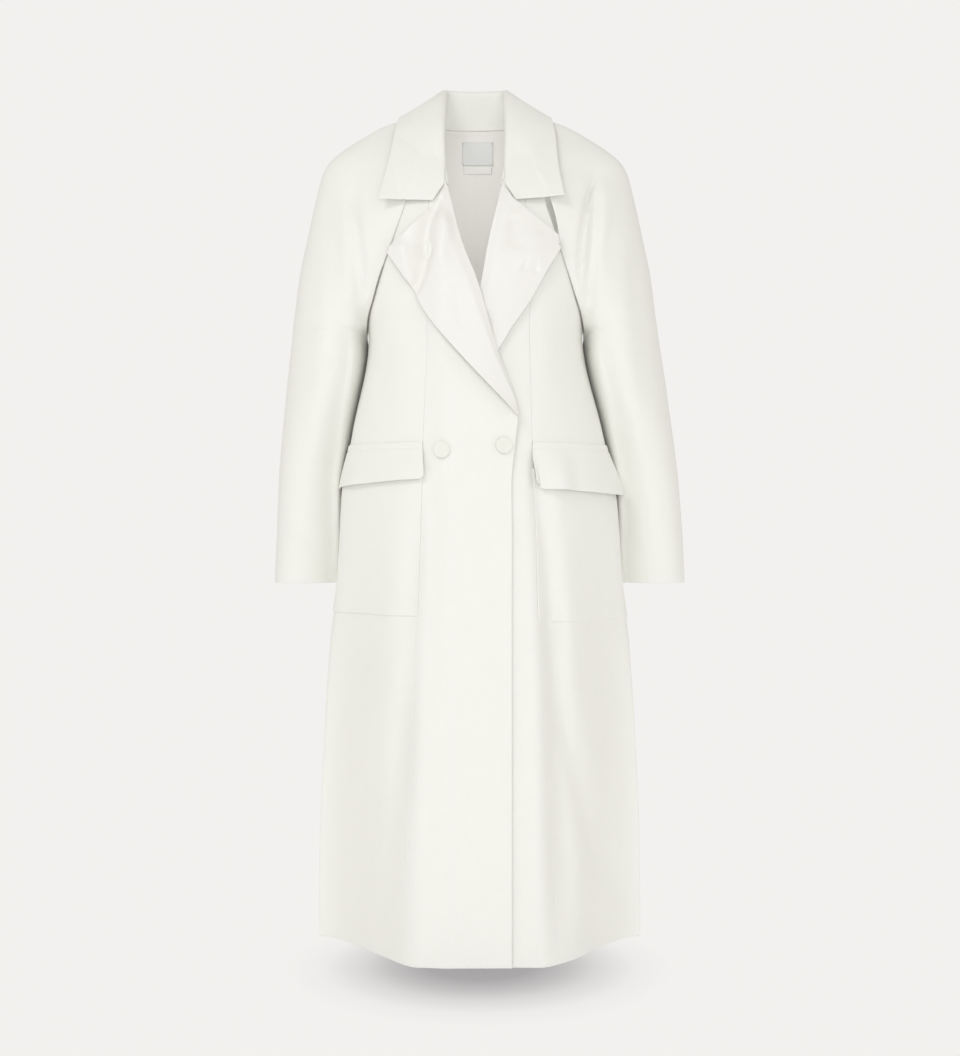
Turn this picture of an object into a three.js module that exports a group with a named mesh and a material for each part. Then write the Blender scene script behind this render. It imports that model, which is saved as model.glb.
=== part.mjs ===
// A long double-breasted wool coat with cape-cut raglan sleeves, a wide collar and satin lapels.
// It is filled out as if worn by a general figure, and every piece is a wall of cloth.
// Millimetres, +Z up. The origin is the middle of the neck opening, at the height of the back
// neck seam. The front faces -Y. Right and left are the wearer's, so the right side is -X.
import * as THREE from 'three';

// Driving sizes
const WOOL = 2;             // wall of the double-faced wool
const SATIN = 1.8;          // wall of a lapel: satin facing on a thin wool backing
const LINING = 1;           // wall of the back lining
const TAPE = 1;             // wall of the label and tag
const SEAM = 0.3;           // clearance between pieces that are sewn together
const LINING_EASE = 0.8;    // room between the backs and their lining
const LABEL_EASE = 1.4;     // room behind the label, which is sewn at its corners
const SIDE_NECK = 12;       // height of the side neck points
const RAGLAN_TOP = -24;     // height where the front raglan seams leave the neck seam
const PRINCESS_TOP = -72;   // height where the princess seams leave the neck seam
const GORGE = -114;         // height where collar and lapel meet on the roll line
const BREAK = -457;         // height where the lapels stop turning back
const UNDERARM = -330;
const CUFF = -698;
const HEM = -1227;
const FLAP_TOP = -492;
const BUTTON_RADIUS = 12;
const BUTTON_THICKNESS = 3.6;
const NECK_MIDDLE = 26;     // y of the middle of the neck opening
const FRONT_FLAT = 0.35;    // share of the half width that hangs flat in front at the hem
const ROUND_FRONT = 0.85;   // power of the cosine that rounds the front, below 1 is fuller
const ROUND_BACK = 0.9;

const table = (names, rows) =>
  rows.map(row => Object.fromEntries(names.map((name, i) => [name, row[i]])));

// Body rings, a row for each height. Widths are half widths; the y columns are the depth of the
// side line, the centre front and the centre back. hang goes from 0, round, to 1, hanging.
const BODY = table(['z', 'side_y', 'front_width', 'front_y', 'back_width', 'back_y', 'hang'], [
  [12, 26, 105, 24, 100, 28, 0],
  [0, 26, 110, 7, 105, 86, 0],
  [-24, 26, 130, -22, 122, 94, 0],
  [-60, 25, 160, -56, 150, 103, 0],
  [-112, 22, 182, -91, 176, 113, 0],
  [-150, 18, 188, -109, 186, 119, 0],
  [-219, 12, 182, -128, 182, 125, 0],
  [-276, 7, 168, -136, 168, 125, 0],
  [-330, 5, 160, -139, 160, 122, 0],
  [-470, 5, 187, -146, 187, 118, 0.15],
  [-556, 5, 203, -156, 203, 120, 0.3],
  [-697, 5, 213, -171, 213, 128, 0.55],
  [-783, 4, 224, -179, 224, 133, 0.75],
  [-903, 3, 232, -186, 232, 140, 0.9],
  [-1083, 1, 240, -192, 240, 147, 1],
  [-1227, 0, 241, -196, 241, 152, 1],
]);

// Distance of each seam from the middle of the body at a height.
const NECK_EDGE = table(['z', 'right', 'left'], [
  [-24, 66, 66], [-60, 58, 58], [-90, 49, 49], [-114, 41, 40], [-143, 33.5, 33],
  [-200, 19.5, 20], [-272, -6.5, 6.8], [-362, -30, -16], [-457, -56.5, -42],
  [-490, -53, -45], [-560, -46, -46], [-745, -45, -46], [-1227, -45, -46],
]);
const PRINCESS = table(['z', 'right', 'left'], [
  [-72, 56.5, 56.5], [-110, 64, 68], [-150, 67, 74], [-300, 68, 78], [-470, 77, 78],
  [-570, 83.5, 81], [-745, 90, 85], [-1227, 105.5, 111.5],
]);
const RAGLAN = table(['z', 'front', 'back'], [
  [12, 69, 69], [0, 69.5, 66], [-24, 68, 79], [-60, 82, 92], [-112, 96, 109],
  [-150, 105, 122], [-190, 118, 134], [-236, 133, 145], [-276, 146, 153.5],
  [-305, 156, 158.5], [-330, 160, 160],
]);

// Sleeve sections. ridge is the outermost line. In front, the curve's handle lies front_out beyond
// the seam, at the depth front_lead less a share of the seam's own. At the back the cloth leaves
// at an angle from +X, positive towards the back, with a handle as long as back_reach.
const ARM = table(['z', 'ridge_x', 'ridge_y', 'front_out', 'front_lead', 'ridge_front',
  'back_angle', 'back_reach', 'ridge_back'], [
  [12, 76, 26, 3, 44, 3, 0, 3, 3],
  [6, 97, 27, 12, 33, 7, -8, 12, 7],
  [1, 113, 28, 20, 25, 12, -10, 22, 12],
  [-8, 138, 28, 32, 9, 20, -8, 36, 20],
  [-27, 172, 29, 45, -26, 32, -6, 46, 34],
  [-45, 200, 30, 51, -53, 42, -5, 50, 42],
  [-63, 221, 31, 55, -75, 50, -5, 54, 50],
  [-80, 231, 33, 59, -94, 56, -6, 58, 54],
  [-117, 241, 35, 63, -128, 64, -6, 62, 58],
  [-178, 254.5, 37, 64, -165, 70, -4, 62, 62],
  [-238, 267, 39, 59, -171, 74, 8, 56, 66],
  [-285, 273, 41, 52, -158, 76, 30, 54, 70],
  [-310, 276.5, 42, 40, -150, 74, 60, 68, 73],
  [-330, 279, 43, 24, -142, 71, 84, 78, 76],
  [-365, 284, 44.5, 18, -128, 70, 96, 66, 76],
  [-420, 291, 47, 26, -104, 72, 98, 60, 74],
  [-542, 304.5, 52, 50, -45, 70, 90, 54, 66],
  [-698, 313.5, 56, 52, 20, 64, 86, 48, 56],
]);
// The sleeve's own seam below the underarm hangs against the body, a little behind its side: the
// turn round the body, and how far it keeps off.
const INNER_ARM = table(['z', 'turn', 'off'], [
  [-330, 90, 2],
  [-345, 98, 2.2],
  [-365, 102, 2.6],
  [-430, 105, 3],
  [-500, 108, 4],
  [-600, 112, 5],
  [-698, 116, 6],
]);
const LEAD_SHARE = 0.8;
const SEAM_SHARE = 0.004;     // share of a sleeve's half that its raglan seam takes
const OVERARM_SHARE = 0.0015; // and the seam along its outermost line
// Slits left open in the front raglan seams: how far they gape.
const SLIT = table(['side', 'top', 'bottom', 'gape'], [[-1, -214, -286, 2], [1, -92, -205, 9]]);

// How far the right front stands off where it laps over the left one.
const LAP = table(['z', 'lift'], [[-70, 0], [-114, 0.5], [-200, 5], [-270, 8], [-460, 8],
  [-560, 4.6], [-1227, 4.6]]);
const LAP_END = 75;           // distance right of the middle at which the lap lies flat again
const LAP_FADE = 33;          // width over which it comes down
// The lower body hangs a little to the left of the neck.
const LEAN = table(['z', 'x'], [[-300, 0], [-460, 3.5], [-620, 7]]);

// Largest folds. x runs from x_top to x_bottom between two heights, at a side (-1 right, 1 left);
// depth is inwards, so a ridge is negative, and each dies away at both ends unless it meets the hem.
const FOLD_COLUMNS = ['side', 'top', 'bottom', 'x_top', 'x_bottom', 'spread_top', 'spread_bottom',
  'depth'];
const FRONT_FOLDS = table(FOLD_COLUMNS, [
  [-1, -720, -1500, 96, 128, 12, 26, 8],
  [1, -500, -1250, 92, 126, 13, 24, 15],
  [1, -840, -1500, 128, 196, 14, 20, 6],
]);
const BACK_FOLDS = table(FOLD_COLUMNS, [
  [-1, -520, -1600, 78, 104, 20, 34, 14],
  [1, -600, -1600, 70, 96, 18, 32, 12],
  [-1, -700, -1600, 150, 178, 16, 24, 7],
  [1, -640, -1600, 158, 184, 16, 24, 8],
]);
const ARM_FOLDS = table(FOLD_COLUMNS, [
  [-1, -70, -352, 184, 160, 10, 12, 9],
  [1, -66, -352, 182, 158, 10, 12, 15],
]);

// Collar: half of it, from the centre back (at 0) to the front end (at 1).
const COLLAR = table(['at', 'roll_x', 'roll_y', 'roll_z', 'edge_x', 'edge_y', 'edge_z', 'bulge'], [
  [0, 0, 78, 60, 0, 107, -22, 10],
  [0.16, 28, 75, 60, 44, 103, -20, 10],
  [0.3, 42.5, 62, 58, 84, 84, -12, 11],
  [0.42, 44, 42, 48, 106, 56, 0, 10],
  [0.5, 44, 26, 38, 114, 28, 6.5, 8],
  [0.62, 44, -6, 12, 119, -12, -18, 7],
  [0.75, 44, -40, -26, 123, -45, -58, 6],
  [0.88, 43, -66, -70, 129, -78, -98, 5],
  [1, 42, -87, -113, 135.5, -104, -134, 3],
]);
const COLLAR_CORNER = 0.18;   // share of the collar's width at which its end turns the notch
const COLLAR_DROP = 25;       // how far the end edge hangs below a straight line there
const COLLAR_END = 0.72;      // from here on its edge turns down to the end
const COLLAR_ON_CHEST = 0.66; // from here on the collar lies over the chest
const COLLAR_LIFT = 9;        // how far its free edge stands off there
const STAND_END = 0.97;       // where the stand ends before the gorge

// Lapels: the free edge from the peak (at 0) to the break (at 1), on each front.
const LAPEL_EDGE = {
  right: table(['at', 'x', 'z'], [[0, 122, -217], [0.2, 93, -260], [0.42, 65, -310],
    [0.66, 22.5, -367], [0.86, -20, -417], [1, -54, -455]]),
  left: table(['at', 'x', 'z'], [[0, 125, -202], [0.2, 104, -238], [0.42, 78.5, -288],
    [0.6, 49.5, -331], [0.76, 30, -363], [1, -39, -455]]),
};
const LAPEL_NOTCH = 0.16;     // share of the lapel's width at which it meets the notch
const LAPEL_DROP = 12;        // how far the top edge hangs below a straight line there
const LAPEL_RISE = 5;         // how far the lapping lapel stands off at its roll line
const UNDER_LAPEL = { rise: 6, low: 0.4, from: -215, over: 60 }; // and the one beneath it

// Colours of the finished cloths and of the buttons
const IVORY = 0xf0f0ea;
const SATIN_IVORY = 0xedece7;
const LINING_BEIGE = 0xf1efeb;
const TAPE_GREY = 0xe2e3e1;
const RESIN = 0xecece4;

// ---- Working functions -------------------------------------------------------------------

const clamp01 = t => Math.min(1, Math.max(0, t));
const ease = t => clamp01(t) ** 2 * (3 - 2 * clamp01(t));
const mix = (a, b, t) => a + (b - a) * t;
const rad = THREE.MathUtils.degToRad;

// A smooth curve through one column that never overshoots its rows.
function column(rows, name, key = 'z') {
  const x = rows.map(row => row[key]);
  const y = rows.map(row => row[name]);
  const slope = y.slice(1).map((value, i) => (value - y[i]) / (x[i + 1] - x[i]));
  const tangent = y.map((_, i) => {
    if (i === 0) return slope[0];
    if (i === slope.length) return slope[i - 1];
    return slope[i - 1] * slope[i] <= 0 ? 0 : 2 / (1 / slope[i - 1] + 1 / slope[i]);
  });
  return at => {
    const down = x[0] > x[1];
    let i = 0;
    while (i < slope.length - 1 && (down ? at < x[i + 1] : at > x[i + 1])) i += 1;
    const width = x[i + 1] - x[i];
    const t = clamp01((at - x[i]) / width);
    const t2 = t * t;
    const t3 = t2 * t;
    return (2 * t3 - 3 * t2 + 1) * y[i] + (t3 - 2 * t2 + t) * width * tangent[i]
      + (3 * t2 - 2 * t3) * y[i + 1] + (t3 - t2) * width * tangent[i + 1];
  };
}

const columns = (rows, names, key) =>
  Object.fromEntries(names.map(name => [name, column(rows, name, key)]));

const body = columns(BODY, ['side_y', 'front_width', 'front_y', 'back_width', 'back_y', 'hang']);
const neckEdge = columns(NECK_EDGE, ['right', 'left']);
const princess = columns(PRINCESS, ['right', 'left']);
const raglan = columns(RAGLAN, ['front', 'back']);
const arm = columns(ARM, Object.keys(ARM[0]).slice(1));
const innerArm = columns(INNER_ARM, ['turn', 'off']);
const lap = column(LAP, 'lift');
const lean = column(LEAN, 'x');
const collar = columns(COLLAR, Object.keys(COLLAR[0]).slice(1), 'at');

const sideName = side => (side < 0 ? 'right' : 'left');

// Depth of all folds of a table at a place on one side: a bell across, eased in along its length.
function foldDepth(folds, side, x, z) {
  let depth = 0;
  for (const fold of folds) {
    if (fold.side !== side || z > fold.top || z < fold.bottom) continue;
    const down = (fold.top - z) / (fold.top - fold.bottom);
    const across = (x - mix(fold.x_top, fold.x_bottom, down))
      / mix(fold.spread_top, fold.spread_bottom, down);
    depth += fold.depth * ease(down * 3) * ease((1 - down) * 3) * Math.exp(-across * across);
  }
  return depth;
}

// Point of the body at a turn from the centre front (0) over the side seam (90) to the centre
// back (180). x is measured towards the side given.
function ring(side, turn, z) {
  const across = Math.sin(rad(turn));
  const facing = Math.cos(rad(turn));
  const sideY = body.side_y(z);
  if (facing >= 0) {
    const round = facing ** ROUND_FRONT;
    const hanging = 1 - ease((Math.abs(across) - FRONT_FLAT) / (1 - FRONT_FLAT));
    const profile = mix(round, hanging, body.hang(z));
    const x = body.front_width(z) * across;
    const fold = foldDepth(FRONT_FOLDS, x < 0 ? -side : side, Math.abs(x), z);
    return new THREE.Vector3(x, mix(sideY, body.front_y(z), profile) + fold, z);
  }
  const x = body.back_width(z) * across;
  const profile = (-facing) ** ROUND_BACK;
  const fold = foldDepth(BACK_FOLDS, x < 0 ? -side : side, Math.abs(x), z);
  return new THREE.Vector3(x, mix(sideY, body.back_y(z), profile) - fold, z);
}

// Unit normal of a surface, from small steps both ways; sign picks the outer side.
function normalOf(surface, u, v, stepU, stepV, sign) {
  const du = surface(u + stepU, v).sub(surface(u - stepU, v));
  const dv = surface(u, v + stepV).sub(surface(u, v - stepV));
  return du.cross(dv).normalize().multiplyScalar(sign);
}

// Point of the body moved out along its normal.
function skin(side, turn, z, lift) {
  const surface = (t, h) => ring(side, t, h);
  const normal = normalOf(surface, turn, z, 0.5, 1, 1);
  return ring(side, turn, z).addScaledVector(normal, lift);
}

const deg = THREE.MathUtils.radToDeg;
const turnAt = (x, z) => deg(Math.asin(Math.max(-1, Math.min(1, x / body.front_width(z)))));
const backTurnAt = (x, z) => 180 - deg(Math.asin(Math.min(1, x / body.back_width(z))));
const frontSeamTurn = z => (z <= UNDERARM ? 90 : turnAt(raglan.front(z), z));
const backSeamTurn = z => (z <= UNDERARM ? 90 : backTurnAt(raglan.back(z), z));

// Gape of the slit in the front raglan seam at a height, on one side.
function slitGape(side, z) {
  const { top, bottom, gape } = SLIT.find(row => row.side === side);
  return gape * Math.sin(Math.PI * clamp01((top - z) / (top - bottom)));
}

// Point of a sleeve section: u is -1 at the front seam, 0 at the outermost line and 1 at the back
// seam. Below the underarm both seams are the sleeve's own inner seam.
function sleevePoint(side, u, z) {
  const back = u > 0;
  const inner = skin(side, innerArm.turn(z), z, innerArm.off(z));
  const start = new THREE.Vector2(inner.x, inner.y);
  if (z > UNDERARM) {
    const seam = ring(side, back ? backSeamTurn(z) : frontSeamTurn(z), z);
    seam.x += SEAM + (back ? 0 : slitGape(side, z));
    start.lerp(new THREE.Vector2(seam.x, seam.y), ease((z - UNDERARM) / 14));
  }
  const ridge = new THREE.Vector2(arm.ridge_x(z), arm.ridge_y(z));
  const turn = back ? arm.ridge_back(z) : -arm.ridge_front(z);
  const angle = rad(arm.back_angle(z));
  const leave = back
    ? new THREE.Vector2(Math.cos(angle), Math.sin(angle)).multiplyScalar(arm.back_reach(z)).add(start)
    : new THREE.Vector2(start.x + arm.front_out(z), arm.front_lead(z) - LEAD_SHARE * start.y);
  const arrive = ridge.clone().add(new THREE.Vector2(0, turn));
  const t = 1 - Math.abs(u);
  const s = 1 - t;
  const x = s ** 3 * start.x + 3 * s * s * t * leave.x + 3 * s * t * t * arrive.x + t ** 3 * ridge.x;
  const y = s ** 3 * start.y + 3 * s * s * t * leave.y + 3 * s * t * t * arrive.y + t ** 3 * ridge.y;
  const fold = back ? 0 : foldDepth(ARM_FOLDS, side, x, z) * ease(s * 3) * ease(t * 6);
  return new THREE.Vector3(x, y + fold, z);
}

const HALVINGS = 24;          // steps that find a sleeve's point at a given x

// Depth of the whole front, body or sleeve, at a place seen from in front.
function frontY(side, x, z) {
  if (z <= UNDERARM || x <= raglan.front(z)) return ring(side, turnAt(x, z), z).y;
  let low = -1;
  let high = -0.05;
  for (let i = 0; i < HALVINGS; i += 1) {
    const middle = (low + high) / 2;
    if (sleevePoint(side, middle, z).x < x) low = middle;
    else high = middle;
  }
  return sleevePoint(side, low, z).y;
}

// Point over the front at a place seen from in front, moved out along the normal there.
function overFront(side, x, z, lift) {
  const step = 3;
  const slopeX = (frontY(side, x + step, z) - frontY(side, x - step, z)) / (2 * step);
  const slopeZ = (frontY(side, x, z + step) - frontY(side, x, z - step)) / (2 * step);
  const normal = new THREE.Vector3(slopeX, -1, slopeZ).normalize();
  return new THREE.Vector3(x, frontY(side, x, z), z).addScaledVector(normal, lift);
}

// Lift of the lapping right front at a place; right of the body's middle x is positive.
const lapLift = (x, z) => lap(z) * ease((LAP_END - x) / LAP_FADE);

// Closed wall from a grid of outer and inner points. outer(u, v) and inner(u, v) take 0..1.
function wall(name, colour, roughness, side, countU, countV, outer, inner) {
  const position = [];
  const place = (point) => {
    position.push(side * point.x + lean(point.z), point.y, point.z);
    return position.length / 3 - 1;
  };
  const grids = [outer, inner].map(surface => {
    const rows = [];
    for (let j = 0; j <= countV; j += 1) {
      const row = [];
      for (let i = 0; i <= countU; i += 1) row.push(place(surface(i / countU, j / countV)));
      rows.push(row);
    }
    return rows;
  });
  const index = [];
  const quad = (a, b, c, d) => index.push(a, b, c, a, c, d);
  const [front, rear] = grids;
  for (let j = 0; j < countV; j += 1) {
    for (let i = 0; i < countU; i += 1) {
      quad(front[j][i], front[j][i + 1], front[j + 1][i + 1], front[j + 1][i]);
      quad(rear[j][i], rear[j + 1][i], rear[j + 1][i + 1], rear[j][i + 1]);
    }
    quad(front[j][0], front[j + 1][0], rear[j + 1][0], rear[j][0]);
    quad(front[j][countU], rear[j][countU], rear[j + 1][countU], front[j + 1][countU]);
  }
  for (let i = 0; i < countU; i += 1) {
    quad(front[0][i], rear[0][i], rear[0][i + 1], front[0][i + 1]);
    quad(front[countV][i], front[countV][i + 1], rear[countV][i + 1], rear[countV][i]);
  }
  let volume = 0;
  const corner = i => new THREE.Vector3().fromArray(position, 3 * i);
  for (let i = 0; i < index.length; i += 3) {
    volume += corner(index[i]).dot(corner(index[i + 1]).cross(corner(index[i + 2])));
  }
  if (volume < 0) index.reverse();
  const geometry = new THREE.BufferGeometry();
  geometry.setAttribute('position', new THREE.Float32BufferAttribute(position, 3));
  geometry.setIndex(index);
  geometry.computeVertexNormals();
  const material = new THREE.MeshStandardMaterial({ color: colour, roughness, metalness: 0 });
  const mesh = new THREE.Mesh(geometry, material);
  mesh.name = name;
  return mesh;
}

// Height at a share of the way down a list of row heights.
function rowHeight(heights, share) {
  const place = share * (heights.length - 1);
  const i = Math.min(heights.length - 2, Math.floor(place));
  return mix(heights[i], heights[i + 1], place - i);
}

// Turn at a share of the way between two seams, inset half a seam at each.
function turnBetween(side, start, end, share, z) {
  const width = ring(side, start, z).distanceTo(ring(side, end, z));
  const inset = Math.min(0.2, (SEAM / 2) / width);
  return mix(start, end, mix(inset, 1 - inset, share));
}

// Panel of the body between two turns that vary with height.
function panel(name, side, countU, heights, startTurn, endTurn, lift) {
  const at = (u, v, depth) => {
    const z = rowHeight(heights, v);
    const turn = turnBetween(side, startTurn(z), endTurn(z), u, z);
    return skin(side, turn, z, lift(ring(side, turn, z).x, z) - depth);
  };
  return wall(name, IVORY, 0.9, side, countU, heights.length - 1,
    (u, v) => at(u, v, 0), (u, v) => at(u, v, WOOL));
}

// Heights of the rows that pieces share, so that their facets meet along the seams.
const YOKE_ROWS = [RAGLAN_TOP, -42, -60, -80, -112, -150, -190, -236, -276, -305, UNDERARM];
const POCKET_ROWS = [-530, -600, -670, -745];
const SKIRT_ROWS = [-400, -450, FLAP_TOP, ...POCKET_ROWS, -830, -930, -1030, -1130, HEM];
const BACK_COLUMNS = 7;
const SIDE_COLUMNS = 7;

// ---- Pieces ------------------------------------------------------------------------------

function frontCentre(side) {
  const edge = neckEdge[sideName(side)];
  const seam = princess[sideName(side)];
  const heights = [PRINCESS_TOP, ...YOKE_ROWS.slice(3), ...SKIRT_ROWS];
  const lift = side < 0 ? lapLift : () => 0;
  return panel(`front_centre_${sideName(side)}`, side, 5, heights,
    z => turnAt(edge(z), z), z => turnAt(seam(z), z), lift);
}

function frontSide(side) {
  const edge = neckEdge[sideName(side)];
  const seam = princess[sideName(side)];
  const heights = [RAGLAN_TOP - SEAM, ...YOKE_ROWS.slice(1), ...SKIRT_ROWS];
  return panel(`front_side_${sideName(side)}`, side, SIDE_COLUMNS, heights,
    z => turnAt(z > PRINCESS_TOP ? edge(z) : seam(z), z), frontSeamTurn,
    side < 0 ? lapLift : () => 0);
}

function back(side) {
  const heights = [0, -12, ...YOKE_ROWS, ...SKIRT_ROWS];
  return panel(`back_${sideName(side)}`, side, BACK_COLUMNS, heights, backSeamTurn, () => 180, () => 0);
}

// Front or back half of a sleeve, from its raglan seam to the seam along its outermost line.
function sleeve(side, half) {
  const heights = [11, 5, 0, -12, ...YOKE_ROWS, -365, -430, -500, -590, CUFF];
  const [start, end] = half === 'front'
    ? [-1 + SEAM_SHARE, -OVERARM_SHARE] : [OVERARM_SHARE, 1 - SEAM_SHARE];
  const at = (u, v, depth) => {
    const z = rowHeight(heights, v);
    const around = mix(start, end, u);
    const surface = (a, h) => sleevePoint(side, a, h);
    const normal = normalOf(surface, around, z, 0.02, 1, 1);
    return sleevePoint(side, around, z).addScaledVector(normal, -depth);
  };
  const countAround = half === 'front' ? 8 : 7;
  return wall(`sleeve_${half}_${sideName(side)}`, IVORY, 0.9, side, countAround,
    heights.length - 1, (u, v) => at(u, v, 0), (u, v) => at(u, v, WOOL));
}

// Neck seam from the centre back (0) to the gorge (1), on top of the panels' edges.
function neckSeam(side, at) {
  const [BACK_END, SIDE_POINT, RAGLAN_END] = [0.4, 0.5, 0.62];
  if (at < BACK_END) return ring(side, backTurnAt(raglan.back(0) * at / BACK_END, 0), 0);
  if (at < SIDE_POINT) {
    const z = mix(0, SIDE_NECK, (at - BACK_END) / (SIDE_POINT - BACK_END));
    return ring(side, backTurnAt(raglan.back(z), z), z);
  }
  if (at < RAGLAN_END) {
    const z = mix(SIDE_NECK, RAGLAN_TOP, (at - SIDE_POINT) / (RAGLAN_END - SIDE_POINT));
    return ring(side, turnAt(raglan.front(z), z), z);
  }
  const z = mix(RAGLAN_TOP, GORGE, (at - RAGLAN_END) / (1 - RAGLAN_END));
  return ring(side, turnAt(neckEdge[sideName(side)](z), z), z);
}

const rollLine = at => new THREE.Vector3(collar.roll_x(at), collar.roll_y(at), collar.roll_z(at));

// Collar stand: from just inside the neck seam up to the roll line, all round the neck.
function standPoint(share, up, depth) {
  const around = Math.abs(share);
  const side = share < 0 ? -1 : 1;
  const foot = neckSeam(side, around);
  const inwards = new THREE.Vector3(-foot.x, NECK_MIDDLE - foot.y, 0).normalize();
  foot.addScaledVector(inwards, WOOL + SEAM).setZ(foot.z + SEAM);
  const top = rollLine(around);
  top.setZ(top.z - 1.2).setX(Math.max(0, top.x - WOOL - SEAM));
  const point = foot.lerp(top, up);
  point.addScaledVector(inwards, depth);
  return point.setX(side * point.x);
}

function collarStand() {
  const at = (u, v, depth) => standPoint(mix(-STAND_END, STAND_END, u), v, depth);
  return wall('collar_stand', IVORY, 0.9, 1, 28, 2,
    (u, v) => at(u, v, 0), (u, v) => at(u, v, WOOL));
}

// Collar fall: from the roll line over the shoulders to its free edge.
function fallPoint(share, out) {
  const around = Math.abs(share);
  const side = share < 0 ? -1 : 1;
  const roll = rollLine(around);
  const edge = new THREE.Vector3(collar.edge_x(around), collar.edge_y(around), collar.edge_z(around));
  const point = roll.clone().lerp(edge, out);
  const away = new THREE.Vector3(point.x, (point.y - NECK_MIDDLE) * 1.2, 30).normalize();
  point.addScaledVector(away, collar.bulge(around) * Math.sin(Math.PI * Math.sqrt(out)));
  const corner = out < COLLAR_CORNER ? out / COLLAR_CORNER : (1 - out) / (1 - COLLAR_CORNER);
  point.z -= COLLAR_DROP * corner * ease((around - COLLAR_END) / (1 - COLLAR_END));
  if (around > COLLAR_ON_CHEST) {
    const lift = WOOL + mix(2, COLLAR_LIFT, ease(out * 1.6)) + 2 * ease((1 - around) * 4);
    point.y = Math.min(point.y, frontY(side, point.x, point.z) - lift);
  }
  return point.setX(side * point.x);
}

function collarFall() {
  const at = (u, v, depth) => {
    const share = mix(-1, 1, u);
    const normal = normalOf(fallPoint, share, mix(0.02, 0.98, v), 0.01, 0.02, -1);
    if (Math.abs(share) < 0.02) normal.x = 0;
    return fallPoint(share, v).addScaledVector(normal, -depth);
  };
  return wall('collar_fall', IVORY, 0.9, 1, 30, 5,
    (u, v) => at(u, v, 0), (u, v) => at(u, v, WOOL));
}

// Lapel: a ruled fan from the roll line to the free edge, laid over its front and standing off it.
function lapel(side) {
  const name = sideName(side);
  const edge = columns(LAPEL_EDGE[name], ['x', 'z'], 'at');
  const top = GORGE - 2;
  const at = (u, v, depth) => {
    const rollZ = mix(top, BREAK, v);
    const rollX = neckEdge[name](rollZ) + 0.2;
    const x = mix(rollX, edge.x(v), u);
    const corner = u < LAPEL_NOTCH ? u / LAPEL_NOTCH : (1 - u) / (1 - LAPEL_NOTCH);
    const z = mix(rollZ, edge.z(v), u) - LAPEL_DROP * corner * (1 - v) ** 4;
    const settled = ease((UNDER_LAPEL.from - z) / UNDER_LAPEL.over);
    const rise = side < 0 ? LAPEL_RISE + 3 * u : mix(UNDER_LAPEL.rise, UNDER_LAPEL.low, settled);
    const lift = SATIN + SEAM + 0.4 + rise * ease(u * 5 + 0.1) + (side < 0 ? lapLift(x, z) : 0);
    return overFront(side, x, z, lift - depth);
  };
  return wall(`lapel_${name}`, SATIN_IVORY, 0.35, side, 6, 10,
    (u, v) => at(u, v, 0), (u, v) => at(u, v, SATIN));
}

// Turn of a side panel's own points below the underarm, for what lies on it.
const sideTurn = (side, u, z) =>
  turnBetween(side, turnAt(princess[sideName(side)](z), z), 90, u, z);

// Patch pocket on a side panel, from the princess seam to the side seam.
function pocket(side) {
  const at = (u, v, depth) => {
    const z = rowHeight(POCKET_ROWS, v);
    return skin(side, sideTurn(side, u, z), z, WOOL + SEAM - depth);
  };
  return wall(`pocket_${sideName(side)}`, IVORY, 0.9, side, SIDE_COLUMNS, POCKET_ROWS.length - 1,
    (u, v) => at(u, v, 0), (u, v) => at(u, v, WOOL));
}

// Pocket flap, sewn on along its top and standing off at its lower edge.
const FLAP = {
  right: { inner: 54, outer: 65, flare: 6, wave: 0 },
  left: { inner: 67, outer: 77, flare: 11, wave: 1.5 },
};
const FLAP_WAVES = 2.5;       // whole waves along the flap
const FLAP_START = 0.1;       // share of its spring already at the seam
function flap(side) {
  const name = sideName(side);
  const { inner, outer, flare, wave } = FLAP[name];
  const at = (u, v, depth) => {
    const z = FLAP_TOP - v * mix(inner, outer, u);
    const ripple = wave * v * Math.sin(u * FLAP_WAVES * 2 * Math.PI);
    const lift = WOOL + SEAM + flare * ease(mix(FLAP_START, 1, v)) + ripple;
    return skin(side, sideTurn(side, u, z), z, lift - depth);
  };
  return wall(`flap_${name}`, IVORY, 0.9, side, SIDE_COLUMNS, 3,
    (u, v) => at(u, v, 0), (u, v) => at(u, v, WOOL));
}

// Both buttons sit on the lapping right front.
function button(name, x, z) {
  const rim = BUTTON_RADIUS;
  const thick = BUTTON_THICKNESS;
  const profile = [[0, 0], [rim - 1.5, 0], [rim, 1], [rim, thick - 1], [rim - 1.2, thick],
    [rim - 3, thick - 0.5], [0, thick - 0.5]].map(([r, h]) => new THREE.Vector2(r, h));
  const mesh = new THREE.Mesh(new THREE.LatheGeometry(profile, 20),
    new THREE.MeshStandardMaterial({ color: RESIN, roughness: 0.4, metalness: 0 }));
  const turn = turnAt(x, z);
  const lift = lapLift(x, z);
  const seat = skin(-1, turn, z, lift);
  const out = skin(-1, turn, z, lift + 1).sub(seat).normalize();
  out.x = -out.x;
  mesh.quaternion.setFromUnitVectors(new THREE.Vector3(0, 1, 0), out);
  mesh.position.set(-seat.x + lean(z), seat.y, z).addScaledVector(out, 2.8 * SEAM);
  mesh.name = name;
  return mesh;
}

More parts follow.
